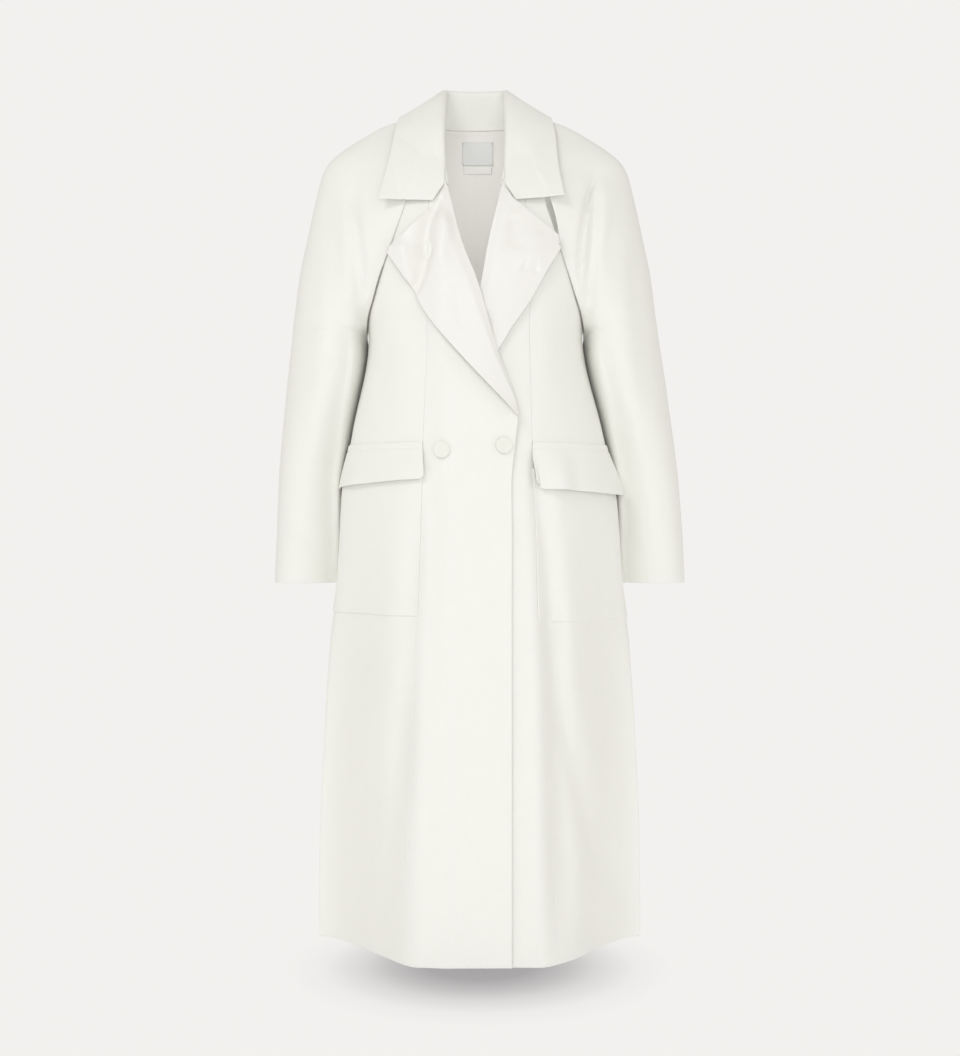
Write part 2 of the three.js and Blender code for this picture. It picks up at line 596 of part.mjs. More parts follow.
// Half lining inside both backs, from the neck seam to a plain hem.
function backLining() {
  const heights = [-1, -24, -60, -112, -190, -276, -305, UNDERARM, -400];
  const half = BACK_COLUMNS - 1;
  const at = (u, v, depth) => {
    const z = rowHeight(heights, v);
    const across = mix(half, -half, u) / BACK_COLUMNS;
    const turn = turnBetween(1, backSeamTurn(z), 180, 1 - Math.abs(across), z);
    return skin(across < 0 ? -1 : 1, turn, z, -WOOL - LINING_EASE - depth)
      .multiply(new THREE.Vector3(across < 0 ? -1 : 1, 1, 1));
  };
  return wall('back_lining', LINING_BEIGE, 0.7, 1, 2 * half, heights.length - 1,
    (u, v) => at(u, v, 0), (u, v) => at(u, v, LINING));
}

// Blank woven piece sewn inside the back neck.
function tape(name, middle, width, top, bottom) {
  const at = (u, v, depth) => {
    const x = middle + width * (u - 0.5);
    const z = mix(top, bottom, v);
    const turn = backTurnAt(x, z);
    return skin(1, turn, z, -WOOL - LINING_EASE - LINING - LABEL_EASE - depth);
  };
  return wall(name, TAPE_GREY, 0.8, 1, 4, 2, (u, v) => at(u, v, 0), (u, v) => at(u, v, TAPE));
}

const coat = new THREE.Group();
for (const side of [-1, 1]) {
  coat.add(back(side), frontCentre(side), frontSide(side), sleeve(side, 'front'),
    sleeve(side, 'back'), lapel(side), pocket(side), flap(side));
}
coat.add(collarStand(), collarFall(), backLining());
coat.add(button('button_right', 50, -505), button('button_left', -36, -499));
coat.add(tape('label', 4, 48, -17, -51), tape('size_tag', 4, 44, -51.6, -64));

export default coat;
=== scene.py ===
"""Long double-breasted wool coat with cape-cut raglan sleeves, a wide collar and satin lapels.

It hangs filled out as if worn. Shapes are worked out in millimetres and turned to metres as each
mesh is made. +Z is up, the front faces -Y, and right and left are the wearer's, so right is -X.
Every wall of cloth is a closed shell, and follows the same tables as the solid that it stands for.
"""

import math

import bmesh
import bpy
import numpy as np
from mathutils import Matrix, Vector


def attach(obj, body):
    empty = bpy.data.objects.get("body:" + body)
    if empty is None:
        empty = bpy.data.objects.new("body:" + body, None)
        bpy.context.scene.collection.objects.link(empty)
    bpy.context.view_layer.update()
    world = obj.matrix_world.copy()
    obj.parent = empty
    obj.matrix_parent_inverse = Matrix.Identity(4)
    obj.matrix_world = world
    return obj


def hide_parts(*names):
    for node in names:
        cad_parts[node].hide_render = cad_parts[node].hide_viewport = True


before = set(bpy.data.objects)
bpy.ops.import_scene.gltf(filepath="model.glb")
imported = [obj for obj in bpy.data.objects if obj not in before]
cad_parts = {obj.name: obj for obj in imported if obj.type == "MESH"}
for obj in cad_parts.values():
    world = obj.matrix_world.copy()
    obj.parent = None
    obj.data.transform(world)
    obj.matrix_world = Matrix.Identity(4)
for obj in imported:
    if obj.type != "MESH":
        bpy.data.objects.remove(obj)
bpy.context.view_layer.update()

# ---- Camera ----------------------------------------------------------------------------------
# A long lens at about the height of the pockets, square to the front.

CAMERA_AT = (0.0075, -2.7, -0.615)
LENS = 61.36

camera = bpy.data.objects.new("camera", bpy.data.cameras.new("camera"))
camera.location = CAMERA_AT
camera.rotation_euler = (math.pi / 2, 0, 0)
camera.data.sensor_width = 36
camera.data.lens = LENS
camera.data.clip_end = 100
bpy.context.collection.objects.link(camera)
bpy.context.scene.camera = camera

# ---- Backs and fronts ------------------------------------------------------------------------
# The body is cut as two backs, two front side panels and two front centre panels, in a thick
# double-faced wool in warm ivory. The panels are joined edge to edge by hand, with no lining
# below the shoulders, and the skirt flares and hangs in soft uneven folds.

WOOL = 2.2
PRINCESS_TOP = -72
RAGLAN_TOP = -24
UNDERARM = -330
HEM = -1227
# Share of the half width that hangs flat in front, and the powers that round front and back.
FRONT_FLAT = 0.35
ROUND_FRONT = 0.85
ROUND_BACK = 0.9
IVORY = (0.871, 0.868, 0.825)
MM = 0.001

# Height, then y of the side line, half width and y of the front, half width and y of the back,
# and how far the front hangs flat instead of round.
BODY = [
    (12, 26, 105, 24, 100, 28, 0),
    (0, 26, 110, 7, 105, 86, 0),
    (-24, 26, 130, -22, 122, 94, 0),
    (-60, 25, 160, -56, 150, 103, 0),
    (-112, 22, 182, -91, 176, 113, 0),
    (-150, 18, 188, -109, 186, 119, 0),
    (-219, 12, 182, -128, 182, 125, 0),
    (-276, 7, 168, -136, 168, 125, 0),
    (-330, 5, 160, -139, 160, 122, 0),
    (-470, 5, 187, -146, 187, 118, 0.15),
    (-556, 5, 203, -156, 203, 120, 0.3),
    (-697, 5, 213, -171, 213, 128, 0.55),
    (-783, 4, 224, -179, 224, 133, 0.75),
    (-903, 3, 232, -186, 232, 140, 0.9),
    (-1083, 1, 240, -192, 240, 147, 1),
    (-1227, 0, 241, -196, 241, 152, 1),
]
# Height, then the distance of the seam from the middle on the right and on the left.
NECK_EDGE = [
    (-24, 66, 66),
    (-60, 58, 58),
    (-90, 49, 49),
    (-114, 41, 40),
    (-143, 33.5, 33),
    (-200, 19.5, 20),
    (-272, -6.5, 6.8),
    (-362, -30, -16),
    (-457, -56.5, -42),
    (-490, -53, -45),
    (-560, -46, -46),
    (-745, -45, -46),
    (-1227, -45, -46),
]
PRINCESS = [
    (-72, 56.5, 56.5),
    (-110, 64, 68),
    (-150, 67, 74),
    (-300, 68, 78),
    (-470, 77, 78),
    (-570, 83.5, 81),
    (-745, 90, 85),
    (-1227, 105.5, 111.5),
]
# Height, then the distance of the front and back raglan seams from the middle.
RAGLAN = [
    (12, 69, 69),
    (0, 69.5, 66),
    (-24, 68, 79),
    (-60, 82, 92),
    (-112, 96, 109),
    (-150, 105, 122),
    (-190, 118, 134),
    (-236, 133, 145),
    (-276, 146, 153.5),
    (-305, 156, 158.5),
    (-330, 160, 160),
]
# Height, then how far the right front stands off where it laps over the left one.
LAP = [(-70, 0), (-114, 0.5), (-200, 5), (-270, 8), (-460, 8), (-560, 4.6), (-1227, 4.6)]
# How far left of the middle the lap ends, and over what width it comes down to the body.
LAP_END = 75
LAP_FADE = 33
# Height, then how far the coat hangs to the left of the neck.
LEAN = [(-300, 0), (-460, 3.5), (-620, 7)]
# Side, top and bottom; distance from the middle at both; width at both; and depth inwards.
FRONT_FOLDS = [
    (-1, -720, -1500, 96, 140, 12, 36, 8),
    (1, -500, -1250, 92, 126, 13, 24, 15),
    (1, -840, -1500, 128, 196, 14, 20, 6),
]
BACK_FOLDS = [
    (-1, -520, -1600, 78, 104, 20, 34, 14),
    (1, -600, -1600, 70, 96, 18, 32, 12),
    (-1, -700, -1600, 150, 178, 16, 24, 7),
    (1, -640, -1600, 158, 184, 16, 24, 8),
]


def ease(t):
    """0 to 1 with flat ends: 3 t squared less 2 t cubed."""
    t = np.clip(t, 0, 1)
    return t * t * (3 - 2 * t)


def mix(a, b, t):
    """a where t is 0, b where it is 1, and straight between them."""
    return a + (b - a) * t


def curve(rows, column):
    """Smooth curve through one column of rows over their first one. Each stretch is a cubic,
    whose end slopes are the harmonic means of the slopes on either side, so it never overshoots."""
    rows = np.asarray(rows, float)
    rows = rows[np.argsort(rows[:, 0])]
    x, y = rows[:, 0], rows[:, column]
    width = np.diff(x)
    slope = np.diff(y) / width
    both = slope[:-1] * slope[1:]
    total = np.where(both > 0, slope[:-1] + slope[1:], 1)
    tangent = np.r_[slope[0], np.where(both > 0, 2 * both / total, 0), slope[-1]]

    def at(place):
        place = np.clip(place, x[0], x[-1])
        i = np.clip(np.searchsorted(x, place) - 1, 0, len(width) - 1)
        t = (place - x[i]) / width[i]
        start = (2 * t**3 - 3 * t**2 + 1) * y[i] + (t**3 - 2 * t**2 + t) * width[i] * tangent[i]
        end = (3 * t**2 - 2 * t**3) * y[i + 1] + (t**3 - t**2) * width[i] * tangent[i + 1]
        return start + end

    return at


side_y, front_width, front_y, back_width, back_y, hang = (curve(BODY, i) for i in range(1, 7))
neck_edge = {-1: curve(NECK_EDGE, 1), 1: curve(NECK_EDGE, 2)}
princess = {-1: curve(PRINCESS, 1), 1: curve(PRINCESS, 2)}
raglan_front, raglan_back = curve(RAGLAN, 1), curve(RAGLAN, 2)
lap = curve(LAP, 1)
lean = curve(LEAN, 1)


def fold_depth(folds, x, z):
    """Depth of soft folds at x and z: across each one a bell, along it eased in over a third
    of its length at both ends."""
    depth = np.zeros(np.broadcast(x, z).shape)
    for side, top, bottom, x_top, x_bottom, wide_top, wide_bottom, deep in folds:
        down = np.clip((top - z) / (top - bottom), 0, 1)
        across = (x - side * mix(x_top, x_bottom, down)) / mix(wide_top, wide_bottom, down)
        depth = depth + deep * ease(3 * down) * ease(3 * (1 - down)) * np.exp(-(across**2))
    return depth


# Creases: x and z of the start, of the handle and of the end, the width at the start
# and at the end, and the depth; a ridge is negative. x grows to the left side of the coat.
FRONT_CREASES = [
    # right skirt: a slack run from the pocket corner to the hem
    (-84, -540, -98, -800, -112, -1060, 9, 18, 12),
    (-108, -820, -132, -1040, -150, -1300, 16, 32, 11),
    (-60, -800, -66, -1000, -70, -1300, 26, 34, -3.5),
    (-178, -820, -196, -1010, -200, -1300, 22, 28, -4),
    # left skirt: the deep run beside the pocket, and its branches to the hem and the side
    (76, -480, 88, -640, 102, -820, 8, 12, 11),
    (98, -700, 108, -860, 112, -1300, 11, 18, 16),
    (108, -820, 140, -1000, 196, -1180, 11, 18, 12),
    (74, -700, 80, -900, 84, -1300, 14, 20, -4),
    (140, -1010, 148, -1120, 152, -1300, 18, 24, -4),
    (206, -900, 212, -1060, 214, -1300, 16, 20, -3),
    # fronts above the pockets
    (-128, -330, -140, -400, -150, -480, 14, 22, 2.5),
    (-100, -250, -96, -350, -104, -470, 14, 16, -2),
    (122, -300, 130, -390, 146, -480, 14, 20, 2.5),
    (100, -260, 96, -360, 100, -470, 12, 16, -2),
    (-20, -470, -12, -700, -10, -1300, 26, 36, -2.5),
    (-60, -520, -58, -640, -62, -760, 12, 18, 2),
]
BACK_CREASES = [
    (-40, -120, -36, -300, -40, -520, 20, 30, 3),
    (46, -140, 44, -320, 40, -500, 20, 28, 3),
    (-118, -150, -104, -280, -110, -470, 16, 24, 5),
    (122, -160, 110, -290, 112, -450, 16, 22, 5),
    (-30, -700, -28, -900, -24, -1300, 26, 34, -5),
    (36, -760, 38, -950, 44, -1300, 24, 32, -4),
    (-140, -560, -134, -800, -136, -1300, 16, 26, -6),
    (134, -620, 132, -850, 136, -1300, 16, 26, -6),
    (-200, -700, -208, -900, -214, -1300, 14, 20, 4),
    (200, -660, 208, -900, 212, -1300, 14, 20, 4),
]
CREASE_STEPS = 8
# How much wider a crease is on its side away from the middle of the coat.
OUTER_SPREAD = 1.8
# Folds die away towards the side line over this share of the cosine of the turn.
SIDE_FADE = 0.2


def nearest_on(row, x, z):
    """Distance of places to a quadratic curve of three points, positive on the side of larger x
    of a curve that runs down, and how far along it they lie. The curve is taken in straight
    pieces."""
    x0, z0, x1, z1, x2, z2 = row
    share = np.linspace(0, 1, CREASE_STEPS)
    path_x = (1 - share) ** 2 * x0 + 2 * share * (1 - share) * x1 + share**2 * x2
    path_z = (1 - share) ** 2 * z0 + 2 * share * (1 - share) * z1 + share**2 * z2
    nearest = np.full(x.shape, 1e9)
    along = np.zeros(x.shape)
    for i in range(CREASE_STEPS - 1):
        run_x, run_z = path_x[i + 1] - path_x[i], path_z[i + 1] - path_z[i]
        off_x, off_z = x - path_x[i], z - path_z[i]
        t = np.clip((off_x * run_x + off_z * run_z) / (run_x**2 + run_z**2), 0, 1)
        away = np.hypot(off_x - t * run_x, off_z - t * run_z)
        away = np.where(run_x * off_z - run_z * off_x < 0, -away, away)
        closer = np.abs(away) < np.abs(nearest)
        nearest = np.where(closer, away, nearest)
        along = np.where(closer, (i + t) / (CREASE_STEPS - 1), along)
    return nearest, along


def crease_depth(creases, x, z):
    """Depth of listed creases: each is a bell across its curve, wider on its outer side, and
    dies away over its first and last quarter."""
    x, z = np.broadcast_arrays(np.asarray(x, float), np.asarray(z, float))
    depth = np.zeros(x.shape)
    for *row, wide0, wide1, deep in creases:
        reach = 3 * OUTER_SPREAD * max(wide0, wide1)
        close = (x > min(row[::2]) - reach) & (x < max(row[::2]) + reach)
        close &= (z > min(row[1::2]) - reach) & (z < max(row[1::2]) + reach)
        away, along = nearest_on(row, x[close], z[close])
        wide = mix(wide0, wide1, along) * np.where(away * row[0] > 0, OUTER_SPREAD, 1)
        bell = np.exp(-((away / wide) ** 2))
        depth[close] += deep * ease(4 * along) * ease(4 * (1 - along)) * bell
    return depth


def ring(side, turn, z):
    """Point of the body at a turn in radians from the centre front (0) over the side seam to the
    centre back (pi). x is the half width times the sine of the turn. y runs from the side line to
    the front or back by a power of the cosine, mixed in front with a flat hanging profile, and
    the folds are taken inwards."""
    turn, z = np.broadcast_arrays(np.asarray(turn, float), np.asarray(z, float))
    across, facing = np.sin(turn), np.cos(turn)
    front = facing >= 0
    x = np.where(front, front_width(z), back_width(z)) * across
    hanging = 1 - ease((np.abs(across) - FRONT_FLAT) / (1 - FRONT_FLAT))
    ahead = mix(np.abs(facing) ** ROUND_FRONT, hanging, hang(z))
    behind = np.abs(facing) ** ROUND_BACK
    depth = np.zeros(x.shape)
    for here, folds, creases in (
        (front, FRONT_FOLDS, FRONT_CREASES),
        (~front, BACK_FOLDS, BACK_CREASES),
    ):
        place = side * x[here], z[here]
        depth[here] = fold_depth(folds, *place) + crease_depth(creases, *place)
    depth = depth * ease(np.abs(facing) / SIDE_FADE)
    y_front = mix(side_y(z), front_y(z), ahead) + depth
    y_back = mix(side_y(z), back_y(z), behind) - depth
    return np.stack([x, np.where(front, y_front, y_back), z], -1)


def skin(side, turn, z, lift):
    """Point of the body moved out along its normal, which is the cross product of a small step
    round it and a small step up it."""
    turn, z = np.broadcast_arrays(np.asarray(turn, float), np.asarray(z, float))
    small = 0.009
    round_it = ring(side, turn + small, z) - ring(side, turn - small, z)
    up_it = ring(side, turn, z + 1) - ring(side, turn, z - 1)
    normal = np.cross(round_it, up_it)
    normal /= np.linalg.norm(normal, axis=-1, keepdims=True)
    return ring(side, turn, z) + normal * np.asarray(lift)[..., None]


def turn_at(x, z):
    """Turn of a place in front, from its distance to the middle."""
    return np.arcsin(np.clip(x / front_width(z), -1, 1))


def back_turn_at(x, z):
    """Turn of a place at the back, from its distance to the middle."""
    return np.pi - np.arcsin(np.clip(x / back_width(z), -1, 1))


def front_seam_turn(z):
    """Turn of the front raglan seam, and of the side seam below the underarm."""
    return np.where(z <= UNDERARM, np.pi / 2, turn_at(raglan_front(z), z))


def back_seam_turn(z):
    """Turn of the back raglan seam, and of the side seam below the underarm."""
    return np.where(z <= UNDERARM, np.pi / 2, back_turn_at(raglan_back(z), z))


def lap_lift(x, z):
    """Lift of the lapping right front; x is positive to the right of the middle."""
    return lap(z) * ease((LAP_END - x) / LAP_FADE)


# Rows of points over a rounded edge, as shares of its radius.
ROUND_ROWS = np.array([0, 0.06, 0.22, 0.5])


def steps(count, length, radius):
    """Shares from 0 to 1 in even steps, with closer rows over the radius of each rounded end."""
    near = ROUND_ROWS * radius / length
    middle = np.linspace(radius / length, 1 - radius / length, count + 1)
    return np.r_[near, middle, 1 - near[::-1]]


def cloth(name, side, surface, across, down, wall, out=1):
    """Closed shell of cloth over surface(u, v), with u and v from 0 to 1. across and down give the
    number of steps and the rough length in millimetres. The outer face is the surface, and the
    inner one lies a wall behind it along its normals. At each edge both faces come together on a
    half circle: at a distance d they are apart by the wall times the root of q (2 - q), where q
    is d over half the wall."""
    radius = wall / 2
    u, v = np.meshgrid(steps(*across, radius), steps(*down, radius), indexing="ij")
    face = surface(u, v)
    face = np.stack([side * face[..., 0] + lean(face[..., 2]), face[..., 1], face[..., 2]], -1)
    along_u, along_v = np.gradient(face, axis=0), np.gradient(face, axis=1)
    normal = np.cross(along_u, along_v)
    normal /= np.maximum(np.linalg.norm(normal, axis=-1, keepdims=True), 1e-9)
    turned = out * np.sum(normal * face * (1, 1, 0)) < 0
    if turned:
        normal = -normal
    half = np.full(u.shape, radius)
    for axis in (0, 1):
        length = np.linalg.norm(np.diff(face, axis=axis), axis=-1)
        pad = [(1, 0), (0, 0)] if axis == 0 else [(0, 0), (1, 0)]
        start = np.pad(np.cumsum(length, axis=axis), pad)
        end = np.max(start, axis=axis, keepdims=True) - start
        q = np.clip(np.minimum(start, end) / radius, 0, 1)
        half = half * np.sqrt(q * (2 - q))
    outer = face - normal * (radius - half)[..., None]
    inner = face - normal * (radius + half)[..., None]
    number = np.arange(u.size).reshape(u.shape)
    behind = number.copy()
    behind[1:-1, 1:-1] = u.size + np.arange((u.shape[0] - 2) * (u.shape[1] - 2)).reshape(
        u.shape[0] - 2, -1
    )
    points = np.concatenate([outer.reshape(-1, 3), inner[1:-1, 1:-1].reshape(-1, 3)])
    flat = np.stack([u * across[1], v * down[1]], -1)
    flat = np.concatenate([flat.reshape(-1, 2), flat[1:-1, 1:-1].reshape(-1, 2)]) * MM
    faces = np.concatenate([quads(number), quads(behind)[:, ::-1]])
    if turned:
        faces = faces[:, ::-1]
    return solid(name, points, faces, flat)


def quads(number):
    """Four corners of each cell of a grid of point numbers."""
    corners = [number[:-1, :-1], number[1:, :-1], number[1:, 1:], number[:-1, 1:]]
    return np.stack(corners, -1).reshape(-1, 4)


def solid(name, points, faces, flat=None):
    """Mesh object of points in millimetres, with flat giving each point's place on the cloth. Faces
    without such a place are turned outwards."""
    mesh = bpy.data.meshes.new(name)
    faces = faces.tolist() if isinstance(faces, np.ndarray) else faces
    mesh.from_pydata((np.asarray(points) * MM).tolist(), [], faces)
    if flat is None:
        shape = bmesh.new()
        shape.from_mesh(mesh)
        bmesh.ops.recalc_face_normals(shape, faces=shape.faces)
        shape.to_mesh(mesh)
        shape.free()
    mesh.polygons.foreach_set("use_smooth", np.ones(len(mesh.polygons), bool))
    if flat is not None:
        layer = mesh.uv_layers.new(name="cloth")
        corner = np.zeros(len(mesh.loops), np.int32)
        mesh.loops.foreach_get("vertex_index", corner)
        layer.data.foreach_set("uv", np.asarray(flat, np.float32)[corner].ravel())
    mesh.update()
    made = bpy.data.objects.new(name, mesh)
    bpy.context.collection.objects.link(made)
    return made


def finish_cloth(made, material, nodes):
    """Gives a piece of cloth its material and its place in the coat, and hides the parts it stands
    for.
    """
    made.data.materials.append(material)
    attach(made, "root")
    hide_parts(*nodes)


def new_group(name, inputs):
    """Node group with inputs of the given names, kinds and values, and a Colour and a Height as
    outputs."""
    group = bpy.data.node_groups.new(name, "ShaderNodeTree")
    for title, kind, value in inputs:
        socket = group.interface.new_socket(title, in_out="INPUT", socket_type=kind)
        socket.default_value = value
    group.interface.new_socket("Colour", in_out="OUTPUT", socket_type="NodeSocketColor")
    group.interface.new_socket("Height", in_out="OUTPUT", socket_type="NodeSocketFloat")
    return group


def feed(tree, socket, value):
    """Gives a socket another socket's output or a plain value."""
    if isinstance(value, bpy.types.NodeSocket):
        tree.links.new(value, socket)
    else:
        socket.default_value = value


def value_of(tree, operation, *values):
    """Output of a math node over sockets and plain values."""
    made = tree.nodes.new("ShaderNodeMath")
    made.operation = operation
    for socket, value in zip(made.inputs, values):
        feed(tree, socket, value)
    return made.outputs[0]


def vector_of(tree, operation, vector, by):
    """Output of a vector math node that scales a vector by a number or works on two vectors."""
    made = tree.nodes.new("ShaderNodeVectorMath")
    made.operation = operation
    feed(tree, made.inputs[0], vector)
    feed(tree, made.inputs["Scale" if operation == "SCALE" else 1], by)
    return made.outputs[0]


def noise(tree, vector, scale, detail, roughness=0.5, distortion=0):
    """Output of a noise texture."""
    made = tree.nodes.new("ShaderNodeTexNoise")
    made.inputs["Scale"].default_value = scale
    made.inputs["Detail"].default_value = detail
    made.inputs["Roughness"].default_value = roughness
    made.inputs["Distortion"].default_value = distortion
    tree.links.new(vector, made.inputs["Vector"])
    return made.outputs["Fac"]


def shade(tree, base, pattern, depth):
    """Base colour times one plus the depth times a pattern."""
    return vector_of(tree, "SCALE", base, value_of(tree, "MULTIPLY_ADD", pattern, depth, 1))


def nap_group():
    """Nap of brushed wool, with sizes in metres. Height is short fibres stretched two ways plus
    slow clouds from brushing, and Colour is the base lightened and darkened a little by them."""
    group = new_group(
        "wool_nap",
        (
            ("Base", "NodeSocketColor", (1, 1, 1, 1)),
            ("Fibre", "NodeSocketFloat", 0.0011),
            ("Cloud", "NodeSocketFloat", 0.02),
            ("Depth", "NodeSocketFloat", 0.03),
        ),
    )
    given, result = group.nodes.new("NodeGroupInput"), group.nodes.new("NodeGroupOutput")
    place = group.nodes.new("ShaderNodeTexCoord").outputs["Object"]

    def grain(size, stretch, detail, roughness, distortion):
        """Noise as fine as a size, longer one way."""
        stretched = vector_of(group, "MULTIPLY", place, stretch)
        vector = vector_of(group, "SCALE", stretched, value_of(group, "DIVIDE", 1, size))
        return noise(group, vector, 1, detail, roughness, distortion)

    down = grain(given.outputs["Fibre"], (1, 1, 0.35), 3, 0.6, 1.2)
    over = grain(given.outputs["Fibre"], (0.4, 0.6, 1), 3, 0.6, 1.6)
    clouds = grain(given.outputs["Cloud"], (1, 1, 0.6), 2, 0.5, 0.4)
    fibres = value_of(group, "MULTIPLY_ADD", over, 0.8, down)
    group.links.new(
        value_of(group, "MULTIPLY_ADD", clouds, 0.5, fibres), result.inputs["Height"]
    )
    lights = value_of(group, "MULTIPLY_ADD", over, 0.6, down)
    lights = value_of(group, "MULTIPLY_ADD", clouds, 0.9, lights)
    centred = value_of(group, "SUBTRACT", lights, 1.25)
    colour = shade(group, given.outputs["Base"], centred, given.outputs["Depth"])
    group.links.new(colour, result.inputs["Colour"])
    return group


wool_nap = nap_group()


def new_material(name, roughness):
    """Material of one Principled shader, which is returned with it."""
    material = bpy.data.materials.new(name)
    material.use_nodes = True
    shader = material.node_tree.nodes["Principled BSDF"]
    shader.inputs["Roughness"].default_value = roughness
    return material, shader


def clothe(material, shader, pattern, values, strength, height):
    """Gives a shader the Colour of a pattern's node group, and its Height as bump."""
    tree = material.node_tree
    made = tree.nodes.new("ShaderNodeGroup")
    made.node_tree = pattern
    for title, value in values.items():
        made.inputs[title].default_value = value
    bump = tree.nodes.new("ShaderNodeBump")
    bump.inputs["Strength"].default_value = strength
    bump.inputs["Distance"].default_value = height
    tree.links.new(made.outputs["Height"], bump.inputs["Height"])
    tree.links.new(made.outputs["Colour"], shader.inputs["Base Color"])
    tree.links.new(bump.outputs["Normal"], shader.inputs["Normal"])


def wool_material():
    """Matt brushed wool: the nap's colour and height, with a faint sheen of fibre ends."""
    material, shader = new_material("ivory_wool", 0.92)
    shader.inputs["Specular IOR Level"].default_value = 0.2
    shader.inputs["Sheen Weight"].default_value = 0.06
    shader.inputs["Sheen Roughness"].default_value = 0.6
    clothe(material, shader, wool_nap, {"Base": (*IVORY, 1)}, 0.35, 0.0004)
    return material


ivory_wool = wool_material()


def panel(side, start_turn, end_turn, top, bottom, lift):
    """Surface between two turns that change with height: u runs from the first to the second,
    and v down from top to bottom."""

    def surface(u, v):
        z = mix(top, bottom, v)
        turn = mix(start_turn(z), end_turn(z), u)
        return skin(side, turn, z, lift(front_width(z) * np.sin(turn), z))

    return surface


def no_lift(x, z):
    """No lift anywhere."""
    return np.zeros(np.broadcast(x, z).shape)


def centre_back(z):
    """Turn of the centre back seam."""
    return np.full(np.shape(z), np.pi)


SIDES = {-1: "right", 1: "left"}

for side, name in SIDES.items():
    lift = lap_lift if side < 0 else no_lift

    def front_edge_turn(z, edge=neck_edge[side]):
        """Turn of the neck edge, the roll line and the front edge."""
        return turn_at(edge(z), z)

    def princess_turn(z, seam=princess[side]):
        """Turn of the princess seam."""
        return turn_at(seam(z), z)

    def yoke_edge_turn(z, edge=neck_edge[side], seam=princess[side]):
        """Turn of the side panel's inner edge: the neck edge above the princess seam, then it."""
        return turn_at(np.where(z > PRINCESS_TOP, edge(z), seam(z)), z)

    for part, start, end, top, rise, across, down, size, area in (
        (
            "back", back_seam_turn, centre_back, 0, no_lift,
            (50, 260), (200, 1240), (0.32, 1.24), 0.297,
        ),
        (
            "front_centre", front_edge_turn, princess_turn, PRINCESS_TOP, lift,
            (36, 135), (300, 1170), (0.17, 1.18), 0.141,
        ),
        (
            "front_side", yoke_edge_turn, front_seam_turn, RAGLAN_TOP, lift,
            (60, 190), (300, 1210), (0.24, 1.22), 0.209,
        ),
    ):
        surface = panel(side, start, end, top, HEM, rise)
        piece = cloth(f"{part}_panel_{name}", side, surface, across, down, WOOL)
        finish_cloth(piece, ivory_wool, [f"{part}_{name}"])

# ---- Sleeves ---------------------------------------------------------------------------------
# One wide piece each side in the same wool, cut with the shoulder like the side of a cape. It is
# joined to the body along the raglan seams, which are left open for a hand's width in front, and
# to itself below the underarm. The slack falls in a fold from each shoulder.

CUFF = -698
SLEEVE_TOP = 11
# Height above the underarm over which the raglan seam turns into the sleeve's own seam.
UNDERARM_TURN = 14
# Height, x and y of the outermost line. In front: how far out the handle at the seam reaches, the
# depth that it leads to, and the handle at the outermost line. At the back: the angle and the
# reach of the handle at the seam, and the handle at the outermost line.
ARM = [
    (12, 76, 26, 3, 44, 3, 0, 3, 3),
    (6, 97, 27, 12, 33, 7, -8, 12, 7),
    (1, 113, 28, 20, 25, 12, -10, 22, 12),
    (-8, 138, 28, 32, 9, 20, -8, 36, 20),
    (-27, 172, 29, 45, -26, 32, -6, 46, 34),
    (-45, 200, 30, 51, -53, 42, -5, 50, 42),
    (-63, 221, 31, 55, -75, 50, -5, 54, 50),
    (-80, 231, 33, 59, -94, 56, -6, 58, 54),
    (-117, 241, 35, 63, -128, 64, -6, 62, 58),
    (-178, 254.5, 37, 64, -165, 70, -4, 62, 62),
    (-238, 267, 39, 59, -171, 74, 8, 56, 66),
    (-285, 273, 41, 52, -158, 76, 30, 54, 70),
    (-310, 276.5, 42, 40, -150, 74, 60, 68, 73),
    (-330, 279, 43, 24, -142, 71, 84, 78, 76),
    (-365, 284, 44.5, 18, -128, 70, 96, 66, 76),
    (-420, 291, 47, 26, -104, 72, 98, 60, 74),
    (-542, 304.5, 52, 50, -45, 70, 90, 54, 66),
    (-698, 313.5, 56, 52, 20, 64, 86, 48, 56),
]
# Height, turn in degrees round the body and distance off it of the sleeve's inner seam.
INNER_ARM = [
    (-330, 90, 2),
    (-345, 98, 2.2),
    (-365, 102, 2.6),
    (-430, 105, 3),
    (-500, 108, 4),
    (-600, 112, 5),
    (-698, 116, 6),
]
# Share of the front seam's depth by which the handle there goes further ahead.
LEAD_SHARE = 0.8
# Top, bottom and gape of the slit in each front raglan seam.
SLIT = {-1: (-214, -286, 1.6), 1: (-92, -205, 10.4)}
# Folds and creases as on the body.
ARM_FOLDS = [
    (-1, -70, -352, 184, 160, 10, 12, 9),
    (1, -66, -352, 182, 158, 10, 12, 15),
]
ARM_CREASES = [
    (-186, -104, -158, -198, -158, -312, 3.5, 4, 2),
    (-214, -110, -206, -220, -196, -350, 12, 14, 4),
    (-236, -200, -240, -330, -262, -470, 12, 16, 3.5),
    (182, -92, 148, -156, 151, -288, 5, 6, 5),
    (214, -120, 196, -210, 172, -300, 10, 12, 3),
    (236, -180, 236, -330, 262, -480, 12, 16, 4),
    (-250, -420, -270, -520, -276, -640, 14, 18, 3),
    (246, -430, 268, -530, 280, -650, 14, 18, 3),
]
# Folds of the sleeves that lap over their inner side: the curve of each as above, then how far
# the outer side stands up at it, and over what width it sinks back.
ARM_LAPS = [
    (-189, -100, -161, -198, -161, -316, 3, 22),
    (187, -86, 153, -156, 156, -294, 8, 28),
]
# Width of the step at such a fold.
LAP_STEP = 4
# Share of the depth of folds and creases that the back of a sleeve takes, outwards.
BACK_CREASED = 0.6
